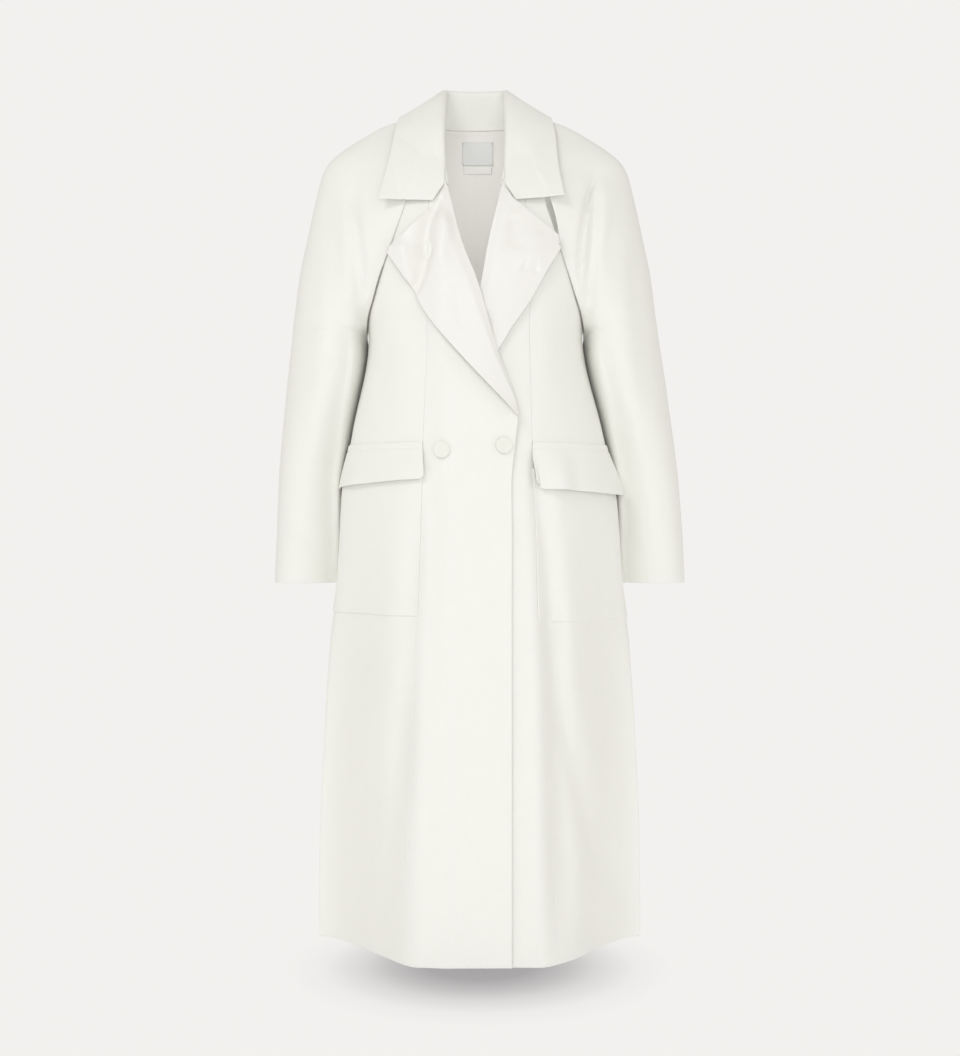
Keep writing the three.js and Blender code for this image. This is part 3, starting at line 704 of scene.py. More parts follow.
# Shares of the way round over which creases fade at the outermost line and at the seams.
OUTER_FADE = 1 / 3
SEAM_FADE = 1 / 9
# Share of a half sleeve left free at its inner seam, and the gap at the back raglan seam.
INNER_SEAM = 0.002
SEAM = 0.3
# The sleeve's front edge is lapped over the body along the raglan seam, by this turn in radians.
SEAM_LAP = 0.02
# Height and fullness of the sleeve's face beside the body, where on it, and how wide.
SLEEVE_FILL = [(-270, 0), (-320, 6), (-350, 12), (-400, 16), (-520, 16), (-698, 12)]
FILL_AT = 14
FILL_WIDE = 10

inner_turn, inner_off = curve(INNER_ARM, 1), curve(INNER_ARM, 2)
arm = [curve(ARM, i) for i in range(1, 9)]
sleeve_fill = curve(SLEEVE_FILL, 1)


def slit_gape(side, z):
    """Gape of the slit: half a sine wave between its ends."""
    top, bottom, gape = SLIT[side]
    return gape * np.sin(np.pi * np.clip((top - z) / (top - bottom), 0, 1))


def lap_rise(laps, x, z):
    """Rise of lapping folds: a short step up at each curve on the side away from the middle, and
    an exponential fall beyond it."""
    rise = np.zeros(x.shape)
    for *row, high, wide in laps:
        away, along = nearest_on(row, x, z)
        away = away * np.sign(row[0])
        fall = np.exp(-np.maximum(away, 0) / wide)
        step = ease(away / LAP_STEP + 0.5)
        rise += high * step * fall * ease(4 * along) * ease(4 * (1 - along))
    return rise


def sleeve_point(side, u, z):
    """Point of a sleeve section: u is -1 at the front seam, 0 at the outermost line and 1 at the
    back seam. Each half is a cubic curve whose handles come from the table, and that arrives at the
    outermost line straight from front or back. The handle at the front seam goes further ahead
    the further back the seam lies, so that the face stays even where the seam turns under."""
    u, z = np.broadcast_arrays(np.asarray(u, float), np.asarray(z, float))
    back = u > 0
    ridge_x, ridge_y, front_out, front_lead, front_ridge, back_angle, back_reach, back_ridge = (
        part(z) for part in arm
    )
    inner = skin(side, np.radians(inner_turn(z)), z, inner_off(z))
    turn = np.where(back, back_seam_turn(z), front_seam_turn(z) - SEAM_LAP)
    seam = skin(side, turn, z, np.where(back, 0, WOOL + SEAM))
    above = ease((z - UNDERARM) / UNDERARM_TURN)
    off = np.where(back, SEAM, slit_gape(side, z))
    start_x = mix(inner[..., 0], seam[..., 0] + off, above)
    start_y = mix(inner[..., 1], seam[..., 1], above)
    angle = np.radians(back_angle)
    leave_x = start_x + np.where(back, back_reach * np.cos(angle), front_out)
    leave_y = np.where(
        back, start_y + back_reach * np.sin(angle), front_lead - LEAD_SHARE * start_y
    )
    arrive_y = ridge_y + np.where(back, back_ridge, -front_ridge)
    t = 1 - np.abs(u)
    s = 1 - t
    x = s**3 * start_x + 3 * s * s * t * leave_x + 3 * s * t * t * ridge_x + t**3 * ridge_x
    y = s**3 * start_y + 3 * s * s * t * leave_y + 3 * s * t * t * arrive_y + t**3 * ridge_y
    depth = fold_depth(ARM_FOLDS, side * x, z) + crease_depth(ARM_CREASES, side * x, z)
    beside = x - start_x - FILL_AT
    full = sleeve_fill(z) * np.exp(-((beside / FILL_WIDE) ** 2)) + lap_rise(ARM_LAPS, side * x, z)
    depth = np.where(back, -BACK_CREASED * depth, depth - full)
    depth = depth * ease(s / OUTER_FADE) * ease(t / SEAM_FADE)
    return np.stack([x, y + depth, z], -1)


for side, name in SIDES.items():
    for half, start, end, across, down, width, area in (
        ("front", -1 + INNER_SEAM, 0, (120, 180), (190, 710), 0.3, 0.151),
        ("back", 0, 1 - INNER_SEAM, (60, 180), (110, 710), 0.25, 0.115),
    ):

        def sleeve_surface(u, v, side=side, start=start, end=end):
            """Half a sleeve: u from one seam round to the other, v down to the cuff."""
            return sleeve_point(side, mix(start, end, u), mix(SLEEVE_TOP, CUFF, v))

        sleeve = cloth(f"sleeve_{half}_piece_{name}", side, sleeve_surface, across, down, WOOL)
        node = f"sleeve_{half}_{name}"
        finish_cloth(sleeve, ivory_wool, [node])

# ---- Pockets and flaps -----------------------------------------------------------------------
# A patch pocket covers each side panel from seam to seam, with its bottom sewn down, and a flap
# is set on above it by a row of stitching. The left flap kicks out at its outer corner.

POCKET_TOP = -530
POCKET_BOTTOM = {-1: -740, 1: -749}
FLAP_TOP = -492
POCKET_WALL = 2.1
# How far the outer faces of pocket and flap start off the panel's.
POCKET_LIFT = 0.9 * WOOL
# Places across the side panel, from its princess seam (0) to its side seam (1): the pocket's front
# edge and the flap's lower front corner, which lap over the centre panel, and the flap's far end.
POCKET_LAP = -0.012
FLAP_LAP = -0.03
FLAP_END = 1.02
# Drop of the flap at the front and at the side, and how far its lower edge stands off at both. It
# comes off between two places on the ease, the first at its top and the other at its edge.
FLAP = {-1: (54, 65, 8, 4), 1: (67, 77, 11, 12)}
FLAP_COMES_OFF = (0.06, 0.96)
# Waves of each flap: place along it, width and depth.
FLAP_WAVES = {-1: [(0.55, 0.1, -1.6)], 1: [(0.1, 0.05, 2.6), (0.19, 0.045, -2.4), (0.3, 0.06, 2.8)]}
# Radii of the flap's lower corners, in front and at the side, and its rough length.
FLAP_CORNER = {-1: 5, 1: 13}
FLAP_SIDE_CORNER = 4
FLAP_LENGTH = 160
# Place of the row of stitching below the flap's top, and the groove's depth and half width.
STITCH_ROW = 9.5
STITCH_DEPTH = 0.9
STITCH_WIDTH = 1.1


def side_turn(side, u, z):
    """Turn of a side panel's own points below the underarm, from the princess to the side seam."""
    return mix(turn_at(princess[side](z), z), np.pi / 2, u)


for side, name in SIDES.items():

    def pocket_surface(u, v, side=side):
        """The side panel's own points, nearly a cloth further out."""
        z = mix(POCKET_TOP, POCKET_BOTTOM[side], v)
        turn = side_turn(side, mix(POCKET_LAP, 1, u), z)
        return skin(side, turn, z, np.full(u.shape, POCKET_LIFT))

    pocket = cloth(f"pocket_piece_{name}", side, pocket_surface, (60, 165), (70, 211), POCKET_WALL)
    finish_cloth(
        pocket,
        ivory_wool,
        [f"pocket_{name}"],
    )

    def flap_surface(u, v, side=side):
        """The side panel's own points moved out further and further down the flap. The lower
        corners are quarter circles, the waves are bells across that deepen downwards, and the
        stitching lies in a groove."""
        drop_front, drop_side, out_front, out_side = FLAP[side]
        drop = mix(drop_front, drop_side, u)
        for radius, off in ((FLAP_CORNER[side], u), (FLAP_SIDE_CORNER, 1 - u)):
            near = np.clip(off * FLAP_LENGTH / radius, 0, 1)
            drop = drop - radius * (1 - np.sqrt(near * (2 - near)))
        z = FLAP_TOP - v * drop
        lift = POCKET_LIFT + mix(out_front, out_side, u**2) * ease(mix(*FLAP_COMES_OFF, v))
        for place, wide, deep in FLAP_WAVES[side]:
            lift = lift - deep * v * np.exp(-(((u - place) / wide) ** 2))
        lift = lift - STITCH_DEPTH * np.exp(-(((v * drop - STITCH_ROW) / STITCH_WIDTH) ** 2))
        return skin(side, side_turn(side, mix(FLAP_LAP * v, FLAP_END, u), z), z, lift)

    flap = cloth(f"flap_piece_{name}", side, flap_surface, (90, 165), (44, 62), WOOL)
    finish_cloth(
        flap,
        ivory_wool,
        [f"flap_{name}"],
    )

# ---- Back lining, label and size tag -----------------------------------------------------------
# A half lining in thin beige cloth covers the back inside, with a seam down its middle. A blank
# woven label is sewn to it by its corners, and a narrow blank tag hangs below.

LINING = 1
TAPE = 1
LINING_BEIGE = (0.88, 0.862, 0.828)
TAPE_GREY = (0.76, 0.765, 0.755)
TAG_GREY = (0.85, 0.84, 0.81)
THREAD = (0.5, 0.51, 0.5)
THREAD_RADIUS = 0.35
THREAD_ROWS = 7
THREAD_SIDES = 10
# A direction that no thread runs along.
ASIDE = (0.3, 1, 0.2)
LINING_TOP = -0.2
LINING_BOTTOM = -400
# Share of the back's width that the lining covers, half its rough width, and how far behind the
# backs' outer faces it lies.
LINING_REACH = 0.9
LINING_HALF = 150
LINING_BEHIND = 2.8
# Depth and width of the groove at the lining's middle seam and of the swell about it.
SEAM_GROOVE = (0.7, 1.1)
SEAM_SWELL = (0.4, 4)
# The label and the tag below it: middle, width, top and bottom, and how far behind they lie.
LABEL = (4, 48, -17, -51)
TAG = (4, 44, -51.6, -64)
LABEL_BEHIND = LINING_BEHIND + LINING + 1.4
LABEL_BOW = 0.5
# The stitches at the label's corners: how far in from its sides and its ends they sit, how far
# behind it, and from their middle to their ends.
STITCH_IN = (1, 2)
STITCH_OFF = 1.3
STITCH_RUN = (1.6, 0, -1.2)


def weave_group():
    """Plain weave on the cloth's own coordinates. Height is the product of two sets of waves, one
    along each yarn, plus soft noise, and Colour is the base shaded by it."""
    group = new_group(
        "plain_weave",
        (
            ("Base", "NodeSocketColor", (1, 1, 1, 1)),
            ("Yarn", "NodeSocketFloat", 0.0004),
            ("Depth", "NodeSocketFloat", 0.05),
        ),
    )
    given, result = group.nodes.new("NodeGroupInput"), group.nodes.new("NodeGroupOutput")
    place = group.nodes.new("ShaderNodeTexCoord")
    size_up = value_of(group, "DIVIDE", 1, given.outputs["Yarn"])
    split = group.nodes.new("ShaderNodeSeparateXYZ")
    feed(group, split.inputs[0], vector_of(group, "SCALE", place.outputs["UV"], size_up))
    waves = [value_of(group, "SINE", split.outputs[axis]) for axis in ("X", "Y")]
    crossed = value_of(group, "MULTIPLY", *waves)
    clouds = noise(group, place.outputs["Object"], 260, 3)
    height = value_of(group, "MULTIPLY_ADD", clouds, 1.4, crossed)
    group.links.new(height, result.inputs["Height"])
    colour = shade(group, given.outputs["Base"], height, given.outputs["Depth"])
    group.links.new(colour, result.inputs["Colour"])
    return group


plain_weave = weave_group()


def woven_material(name, base, roughness, yarn, depth, bump_height):
    """Cloth with a plain weave on its own coordinates."""
    material, shader = new_material(name, roughness)
    values = {"Base": (*base, 1), "Yarn": yarn, "Depth": depth}
    clothe(material, shader, plain_weave, values, 0.5, bump_height)
    return material


lining_cloth = woven_material("beige_lining", LINING_BEIGE, 0.62, 0.0002, 0.03, 0.0001)
label_tape = woven_material("woven_label", TAPE_GREY, 0.75, 0.00022, 0.06, 0.00015)
tag_tape = woven_material("woven_tag", TAG_GREY, 0.75, 0.00022, 0.06, 0.00015)


def lining_surface(u, v):
    """The backs' own points from seam to seam, moved in behind their inner faces. The middle seam
    is a narrow groove in a low swell, each a bell across."""
    across = mix(LINING_REACH, -LINING_REACH, u)
    z = mix(LINING_TOP, LINING_BOTTOM, v)
    turn = mix(back_seam_turn(z), np.pi, 1 - np.abs(across))
    groove, swell = (
        deep * np.exp(-((across * LINING_HALF / wide) ** 2))
        for deep, wide in (SEAM_GROOVE, SEAM_SWELL)
    )
    lift = groove - swell - LINING_BEHIND
    at_right = skin(-1, turn, z, lift) * (-1, 1, 1)
    at_left = skin(1, turn, z, lift)
    return np.where((across < 0)[..., None], at_right, at_left)


back_lining = cloth("back_lining_piece", 1, lining_surface, (90, 330), (60, 400), LINING, out=-1)
finish_cloth(
    back_lining,
    lining_cloth,
    ["back_lining"],
)


def tape_surface(middle, width, top, bottom):
    """Flat woven piece hung inside the lining, bowed out a little between its corners."""

    def surface(u, v):
        x = middle + width * (u - 0.5)
        z = mix(top, bottom, v)
        turn = np.pi - np.arcsin(x / back_width(z))
        bow = LABEL_BOW * np.sin(np.pi * u) * np.sin(np.pi * v)
        return skin(1, turn, z, -LABEL_BEHIND - bow)

    return surface


label = cloth("label_piece", 1, tape_surface(*LABEL), (40, 48), (30, 34), TAPE, out=-1)
size_tag = cloth("size_tag_piece", 1, tape_surface(*TAG), (40, 44), (14, 12.4), TAPE, out=-1)


def closed_rings(rings, start, end):
    """Points and faces of a row of rings, closed by a point at each end."""
    count = rings.shape[1]
    points = np.concatenate([rings.reshape(-1, 3), [start, end]])
    number = np.arange(rings.shape[0] * count).reshape(-1, count)
    number = np.concatenate([number, number[:, :1]], 1)
    faces = quads(number).tolist()
    for i in range(count):
        faces.append([len(points) - 2, number[0, i], number[0, i + 1]])
        faces.append([len(points) - 1, number[-1, i + 1], number[-1, i]])
    return points, faces


def rings_about(middle, ahead, lean_to, profile, count):
    """Rings about a line that runs ahead from a middle. Each row of the profile gives a radius and
    a place along the line, and the rings start square to the direction lean_to."""
    beside = np.cross(ahead, lean_to)
    beside = beside / np.linalg.norm(beside)
    above = np.cross(ahead, beside)
    around = np.linspace(0, 2 * np.pi, count, endpoint=False)[None, :, None]
    out = np.cos(around) * beside + np.sin(around) * above
    radius, along = np.asarray(profile, float).T[..., None, None]
    return middle + along * ahead + radius * out


def bead(start, end):
    """Points and faces of a short thread between two ends: a ball stretched along it."""
    run = (end - start) / 2
    length = np.linalg.norm(run)
    along = np.linspace(-1, 1, THREAD_ROWS)[1:-1]
    profile = np.stack([THREAD_RADIUS * np.sqrt(1 - along**2), length * along], 1)
    rings = rings_about((start + end) / 2, run / length, ASIDE, profile, THREAD_SIDES)
    return closed_rings(rings, start, end)


def threads(name, all_ends, material):
    """One piece of many short threads."""
    points, faces = [], []
    for ends in all_ends:
        new_points, new_faces = bead(*ends)
        faces += [[i + len(points) for i in face] for face in new_faces]
        points += new_points.tolist()
    made = solid(name, points, faces)
    made.data.materials.append(material)
    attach(made, "root")
    return made


def two_tone(tree, value, base, dark, bright):
    """Colour that goes from a darker to a brighter base as the value grows."""
    ramp = tree.nodes.new("ShaderNodeValToRGB")
    for stop, share in zip(ramp.color_ramp.elements, (dark, bright)):
        stop.color = (*[min(1, share * c) for c in base], 1)
    feed(tree, ramp.inputs["Fac"], value)
    return ramp.outputs["Color"]


def thread_material():
    """Grey thread with fine uneven shading."""
    material, shader = new_material("grey_thread", 0.7)
    tree = material.node_tree
    place = tree.nodes.new("ShaderNodeTexCoord")
    grain = noise(tree, place.outputs["Object"], 3000, 2)
    feed(tree, shader.inputs["Base Color"], two_tone(tree, grain, THREAD, 0.8, 1))
    return material


middle, width, top, bottom = LABEL
corner_ends = []
for x in (middle - width / 2 + STITCH_IN[0], middle + width / 2 - STITCH_IN[0]):
    for z in (top - STITCH_IN[1], bottom + STITCH_IN[1]):
        turn = math.pi - math.asin(x / float(back_width(z)))
        point = skin(1, turn, z, -LABEL_BEHIND - STITCH_OFF)
        corner_ends.append((point - STITCH_RUN, point + STITCH_RUN))
label_stitches = threads("label_stitches", corner_ends, thread_material())
finish_cloth(
    label,
    label_tape,
    ["label"],
)
finish_cloth(
    size_tag,
    tag_tape,
    ["size_tag"],
)

# ---- Collar ----------------------------------------------------------------------------------
# One wide collar of the same wool, sewn in round the neck. It stands up inside, rolls over and
# falls to the shoulders, with its ends hanging free over the chest.

# Place from the centre back to the front end; x, y, z of the roll and of the free edge; bulge.
COLLAR = [
    (0, 0, 78, 60, 0, 107, -22, 10),
    (0.16, 28, 75, 60, 44, 103, -20, 10),
    (0.3, 42.5, 62, 58, 84, 84, -12, 11),
    (0.42, 44, 42, 48, 106, 56, 0, 10),
    (0.5, 44, 26, 38, 114, 28, 6.5, 8),
    (0.62, 44, -6, 12, 119, -12, -18, 7),
    (0.75, 44, -40, -26, 123, -45, -58, 6),
    (0.88, 43, -66, -70, 129, -78, -98, 5),
    (1, 42, -87, -113, 135.5, -104, -134, 3),
]
# How far the ends of the collar hang off the table's place, in x and in z.
COLLAR_ASTRAY = {-1: (4, -4), 1: (-6, 1)}
# Past these shares of the way round, the ends hang astray and their corners come down.
ASTRAY_FROM = 0.6
CORNER_FROM = 0.72
# Place and depth of the lower corner of each end, as a share of the way out and in millimetres.
COLLAR_CORNER = 0.18
COLLAR_DROP = 25
# Where on the way round the collar comes to lie on the chest, and over which share it does.
COLLAR_ON_CHEST = 0.6
CHEST_TURN = 0.08
# How far off the chest it lies at the roll and at its free edge, the share of the fall over which
# it comes off, and how much further off it lies away from its ends.
COLLAR_OFF = (4, 11)
COMES_OFF_OVER = 0.625
MORE_OFF = 2
MORE_OFF_OVER = 0.25
# The fall's bulge leaves the neck's middle, stronger to the front and back, and upwards as well.
BULGE_AHEAD = 1.2
BULGE_UP = 30.0
# Foot and top of the stand: how far inside the neck seam and the roll, and how far below them.
STAND_FOOT = (3.6, 1.6)
STAND_TOP = (3.4, 3)
STAND_SHARE = 0.3
# Share about the roll that is smoothed, and how often.
ROLL_WIDTH = 0.03
ROLL_PASSES = 6
# Heights of the side neck point and the gorge, and y of the neck's middle.
SIDE_NECK = 12
GORGE = -114
NECK_MIDDLE = 26
# Ranges of x and z and spacing of the grid on which the depth of the front is mapped, how near
# to its outermost line the sleeve is followed, and in how many places.
MAP_X = (-90, 232)
MAP_Z = (-480, 1)
MAP_STEP = 3.0
MAP_END = -0.03
MAP_PLACES = 160

collar_curves = [curve(COLLAR, i) for i in range(1, 8)]


def map_front(side):
    """Depth of the whole front, body and sleeve, on an even grid of x and z: the body's own up to
    the raglan seam, and beyond it the front half of the sleeve, found from its points' x."""
    x_line, z_line = np.arange(*MAP_X, MAP_STEP), np.arange(*MAP_Z, MAP_STEP)
    depth = ring(side, turn_at(x_line[:, None], z_line), z_line)[..., 1]
    share = np.linspace(-1 + INNER_SEAM, MAP_END, MAP_PLACES)
    rows = sleeve_point(side, share[:, None], z_line)
    for j in np.flatnonzero(z_line > UNDERARM):
        row = rows[:, j]
        on_sleeve = np.interp(x_line, row[:, 0], row[:, 1])
        depth[:, j] = np.where(x_line > row[0, 0], on_sleeve, depth[:, j])

    def at(x, z):
        """Depth at a place, straight between the four points of the grid about it."""
        i = np.clip((x - x_line[0]) / MAP_STEP, 0, len(x_line) - 1.001)
        j = np.clip((z - z_line[0]) / MAP_STEP, 0, len(z_line) - 1.001)
        i0, j0 = i.astype(int), j.astype(int)
        s, t = i - i0, j - j0
        low = mix(depth[i0, j0], depth[i0 + 1, j0], s)
        high = mix(depth[i0, j0 + 1], depth[i0 + 1, j0 + 1], s)
        return mix(low, high, t)

    return at


front_map = {side: map_front(side) for side in SIDES}


def neck_seam(side, at):
    """Neck seam from the centre back (0) over the side neck point to the gorge (1), on the top
    edges of the backs, sleeves and fronts."""
    back_end, side_point, raglan_end = 0.4, 0.5, 0.62
    z1 = mix(0, SIDE_NECK, np.clip((at - back_end) / (side_point - back_end), 0, 1))
    z2 = mix(SIDE_NECK, RAGLAN_TOP, np.clip((at - side_point) / (raglan_end - side_point), 0, 1))
    z3 = mix(RAGLAN_TOP, GORGE, np.clip((at - raglan_end) / (1 - raglan_end), 0, 1))
    zero = np.zeros(at.shape)
    turn0 = back_turn_at(raglan_back(zero) * np.clip(at / back_end, 0, 1), zero)
    parts = [
        ring(side, turn0, zero),
        ring(side, back_turn_at(raglan_back(z1), z1), z1),
        ring(side, turn_at(raglan_front(z2), z2), z2),
        ring(side, turn_at(neck_edge[side](z3), z3), z3),
    ]
    which = (at >= back_end).astype(int) + (at >= side_point) + (at >= raglan_end)
    return np.choose(which[..., None], parts)


def collar_half(side, around, w):
    """Upper side of one half of the collar. w runs from the neck seam up the inside of the stand
    (0 to STAND_SHARE), over the roll and down the fall to the free edge (1). The fall is a
    straight line from the roll to the edge with a bulge of a sine of the root of the way out, and
    over the chest it lies on the front, standing off it."""
    foot = neck_seam(side, around)
    inwards = np.stack([-foot[..., 0], NECK_MIDDLE - foot[..., 1], np.zeros(foot.shape[:-1])], -1)
    inwards /= np.linalg.norm(inwards, axis=-1, keepdims=True)
    foot = foot + inwards * STAND_FOOT[0] - (0, 0, STAND_FOOT[1])
    roll_x, roll_y, roll_z, edge_x, edge_y, edge_z, bulge = (part(around) for part in collar_curves)
    roll = np.stack([roll_x, roll_y, roll_z], -1)
    astray = ease((around - ASTRAY_FROM) / (1 - ASTRAY_FROM))
    edge_x = edge_x + COLLAR_ASTRAY[side][0] * astray
    edge = np.stack([edge_x, edge_y, edge_z + COLLAR_ASTRAY[side][1] * astray], -1)
    up = np.clip(w / STAND_SHARE, 0, 1)[..., None]
    stand_top = roll + inwards * STAND_TOP[0] - (0, 0, STAND_TOP[1])
    stand = mix(foot, stand_top, up)
    out = np.clip((w - STAND_SHARE) / (1 - STAND_SHARE), 0, 1)
    fall = mix(roll, edge, out[..., None])
    ahead = (fall[..., 1] - NECK_MIDDLE) * BULGE_AHEAD
    away = np.stack([fall[..., 0], ahead, np.full(out.shape, BULGE_UP)], -1)
    away /= np.linalg.norm(away, axis=-1, keepdims=True)
    fall = fall + away * (bulge * np.sin(np.pi * np.sqrt(out)))[..., None]
    corner = np.where(out < COLLAR_CORNER, out / COLLAR_CORNER, (1 - out) / (1 - COLLAR_CORNER))
    fall[..., 2] -= COLLAR_DROP * corner * ease((around - CORNER_FROM) / (1 - CORNER_FROM))
    lift = mix(*COLLAR_OFF, ease(out / COMES_OFF_OVER))
    lift = lift + MORE_OFF * ease((1 - around) / MORE_OFF_OVER)
    chest = front_map[side](fall[..., 0], fall[..., 2]) - lift
    on_chest = ease((around - COLLAR_ON_CHEST) / CHEST_TURN)
    fall[..., 1] = mix(fall[..., 1], np.minimum(fall[..., 1], chest), on_chest)
    return np.where((w < STAND_SHARE)[..., None], stand, fall)


def collar_surface(u, v):
    """Whole collar from the right end to the left end, with the profile smoothed over the roll."""
    share = mix(-1, 1, u)
    around = np.abs(share)
    right = collar_half(-1, around, v) * (-1, 1, 1)
    left = collar_half(1, around, v)
    points = np.where((share < 0)[..., None], right, left)
    near_roll = np.exp(-(((v - STAND_SHARE) / ROLL_WIDTH) ** 2))[..., None]
    for _ in range(ROLL_PASSES):
        smooth = points.copy()
        smooth[:, 1:-1] = (points[:, :-2] + points[:, 1:-1] * 2 + points[:, 2:]) / 4
        points = mix(points, smooth, near_roll)
    return points


collar = cloth("collar_piece", 1, collar_surface, (220, 560), (110, 150), WOOL)
finish_cloth(
    collar,
    ivory_wool,
    ["collar_stand", "collar_fall"],
)

# ---- Lapels ----------------------------------------------------------------------------------
# Each lapel is the front turned back, faced with ivory satin on thin wool, from the gorge to the
# break above the buttons. The satin wrinkles softly, and the right one is picked by hand.

SATIN = 1.8
SATIN_IVORY = (0.85, 0.84, 0.8)
BREAK = -457
# Place and depth of the dip that the top edge makes to the notch.
LAPEL_NOTCH = 0.16
LAPEL_DROP = 12
# How far off the front a lapel starts. Then it rises at the roll line and as much more at its
# edge: the right one by the same all down, the left one by less below the height where it settles.
LAPEL_OFF = 0.7
RIGHT_RISE = (5, 6)
LEFT_RISE = (6, 4)
LEFT_LOW_RISE = 1
SETTLES_AT = -215
SETTLES_OVER = 60
# Shares of the way out over which the rise is eased in, from how far before the roll line, and
# over which the creases are.
RISE_OVER = 0.2
RISE_BEFORE = 0.02
CREASED_OVER = 1 / 6
# Hand-picked stitches along the right lapel: how many, how far from its edge and off its face,
# half their length, their first and last places down it, and the step that gives their run.
PICKS = 44
PICK_INSET = 4.5
PICK_OFF = 0.1
PICK_REACH = 1.1
PICK_ENDS = (0.06, 0.9)
PICK_STEP = 0.006
# Place from the peak to the break, then x and z of the free edge.
LAPEL_EDGE = {
    -1: [
        (0, 122, -217),
        (0.2, 93, -260),
        (0.42, 65, -310),
        (0.66, 22.5, -367),
        (0.86, -20, -417),
        (1, -54, -455),
    ],
    1: [
        (0, 125, -202),
        (0.2, 104, -238),
        (0.42, 78.5, -288),
        (0.6, 49.5, -331),
        (0.76, 30, -363),
        (1, -39, -455),
    ],
}
LAPEL_CREASES = {
    -1: [
        (-42, -130, -74, -178, -66, -240, 8, 8, 9),
        (-62, -196, -62, -240, -90, -296, 8, 6, 9),
        (-30, -160, -44, -200, -46, -262, 10, 10, -5),
        (-102, -196, -98, -236, -84, -272, 8, 8, -4),
        (-36, -262, -34, -300, -24, -350, 9, 8, 2.4),
    ],
    1: [
        (62, -240, 76, -248, 92, -244, 6, 6, 3),
        (14, -300, 18, -330, 12, -370, 6, 6, 2.6),
        (52, -166, 56, -190, 52, -222, 9, 9, 2.6),
        (90, -186, 84, -220, 68, -256, 11, 11, -2.4),
    ],
}


def satin_material():
    """Soft satin: long silky highlights, a fine weave and a faint unevenness in its gloss."""
    material, shader = new_material("ivory_satin", 0.36)
    shader.inputs["Specular IOR Level"].default_value = 0.45
    shader.inputs["Sheen Weight"].default_value = 0.1
    shader.inputs["Sheen Roughness"].default_value = 0.35
    values = {"Base": (*SATIN_IVORY, 1), "Yarn": 0.00012, "Depth": 0.012}
    clothe(material, shader, plain_weave, values, 0.3, 0.00005)
    tree = material.node_tree
    place = tree.nodes.new("ShaderNodeTexCoord")
    gloss = tree.nodes.new("ShaderNodeMapRange")
    gloss.inputs["To Min"].default_value = 0.3
    gloss.inputs["To Max"].default_value = 0.44
    feed(tree, gloss.inputs["Value"], noise(tree, place.outputs["Object"], 60, 2))
    feed(tree, shader.inputs["Roughness"], gloss.outputs["Result"])
    return material


ivory_satin = satin_material()


def over_front(side, x, z, lift):
    """Point over the front at a place seen from in front, moved out along the normal there."""
    step = 4
    depth = front_map[side]
    slope_x = (depth(x + step, z) - depth(x - step, z)) / (2 * step)
    slope_z = (depth(x, z + step) - depth(x, z - step)) / (2 * step)
    normal = np.stack([slope_x, -np.ones(x.shape), slope_z], -1)
    normal /= np.linalg.norm(normal, axis=-1, keepdims=True)
    return np.stack([x, depth(x, z), z], -1) + normal * lift[..., None]


def lapel_at(side, u, v):
    """Lapel point: u runs straight from the roll line to the free edge, v from the gorge down to
    the break. It stands off its front by a rise that is eased in from the roll, less the depth
    of its creases, and the top edge dips to the notch."""
    edge_x, edge_z = curve(LAPEL_EDGE[side], 1), curve(LAPEL_EDGE[side], 2)
    roll_z = mix(GORGE - 2, BREAK, v)
    roll_x = neck_edge[side](roll_z) + 0.2
    x = mix(roll_x, edge_x(v), u)
    notch = np.where(u < LAPEL_NOTCH, u / LAPEL_NOTCH, (1 - u) / (1 - LAPEL_NOTCH))
    z = mix(roll_z, edge_z(v), u) - LAPEL_DROP * notch * (1 - v) ** 4
    if side < 0:
        rise, more = RIGHT_RISE
        laid = lap_lift(x, z)
    else:
        rise, more = LEFT_RISE
        rise = mix(rise, LEFT_LOW_RISE, ease((SETTLES_AT - z) / SETTLES_OVER))
        laid = 0
    lift = SATIN + LAPEL_OFF + laid + (rise + more * u) * ease((u + RISE_BEFORE) / RISE_OVER)
    lift = lift - crease_depth(LAPEL_CREASES[side], side * x, z) * ease(u / CREASED_OVER)
    return over_front(side, x, z, lift)


def pick_stitches():
    """Short threads along the right lapel, set in from its free edge and laid along it."""
    side = -1
    place = np.linspace(*PICK_ENDS, PICKS)
    edge, roll = lapel_at(side, np.ones(PICKS), place), lapel_at(side, np.zeros(PICKS), place)
    share = 1 - PICK_INSET / np.linalg.norm(edge - roll, axis=1)
    points = lapel_at(side, share, place)
    run = lapel_at(side, share, place + PICK_STEP) - points
    run *= PICK_REACH / np.linalg.norm(run, axis=1, keepdims=True)
    points = points * (-1, 1, 1) - (0, PICK_OFF, 0)
    run = run * (-1, 1, 1)
    thread = woven_material("ivory_thread", SATIN_IVORY, 0.6, 0.0003, 0.04, 0.0001)
    return threads("lapel_picks", list(zip(points - run, points + run)), thread)


for side, name in SIDES.items():

    def lapel_surface(u, v, side=side):
        """The lapel of one side."""
        return lapel_at(side, u, v)

    lapel = cloth(f"lapel_piece_{name}", side, lapel_surface, (80, 110), (150, 340), SATIN)
    extra = [pick_stitches()] if side < 0 else []
    finish_cloth(
        lapel,
        ivory_satin,
        [f"lapel_{name}"],
    )

# ---- Buttons ---------------------------------------------------------------------------------
# Two flat discs of ivory resin sewn to the lapping front, with a fine rim.

BUTTON_IVORY = (0.84, 0.835, 0.775)
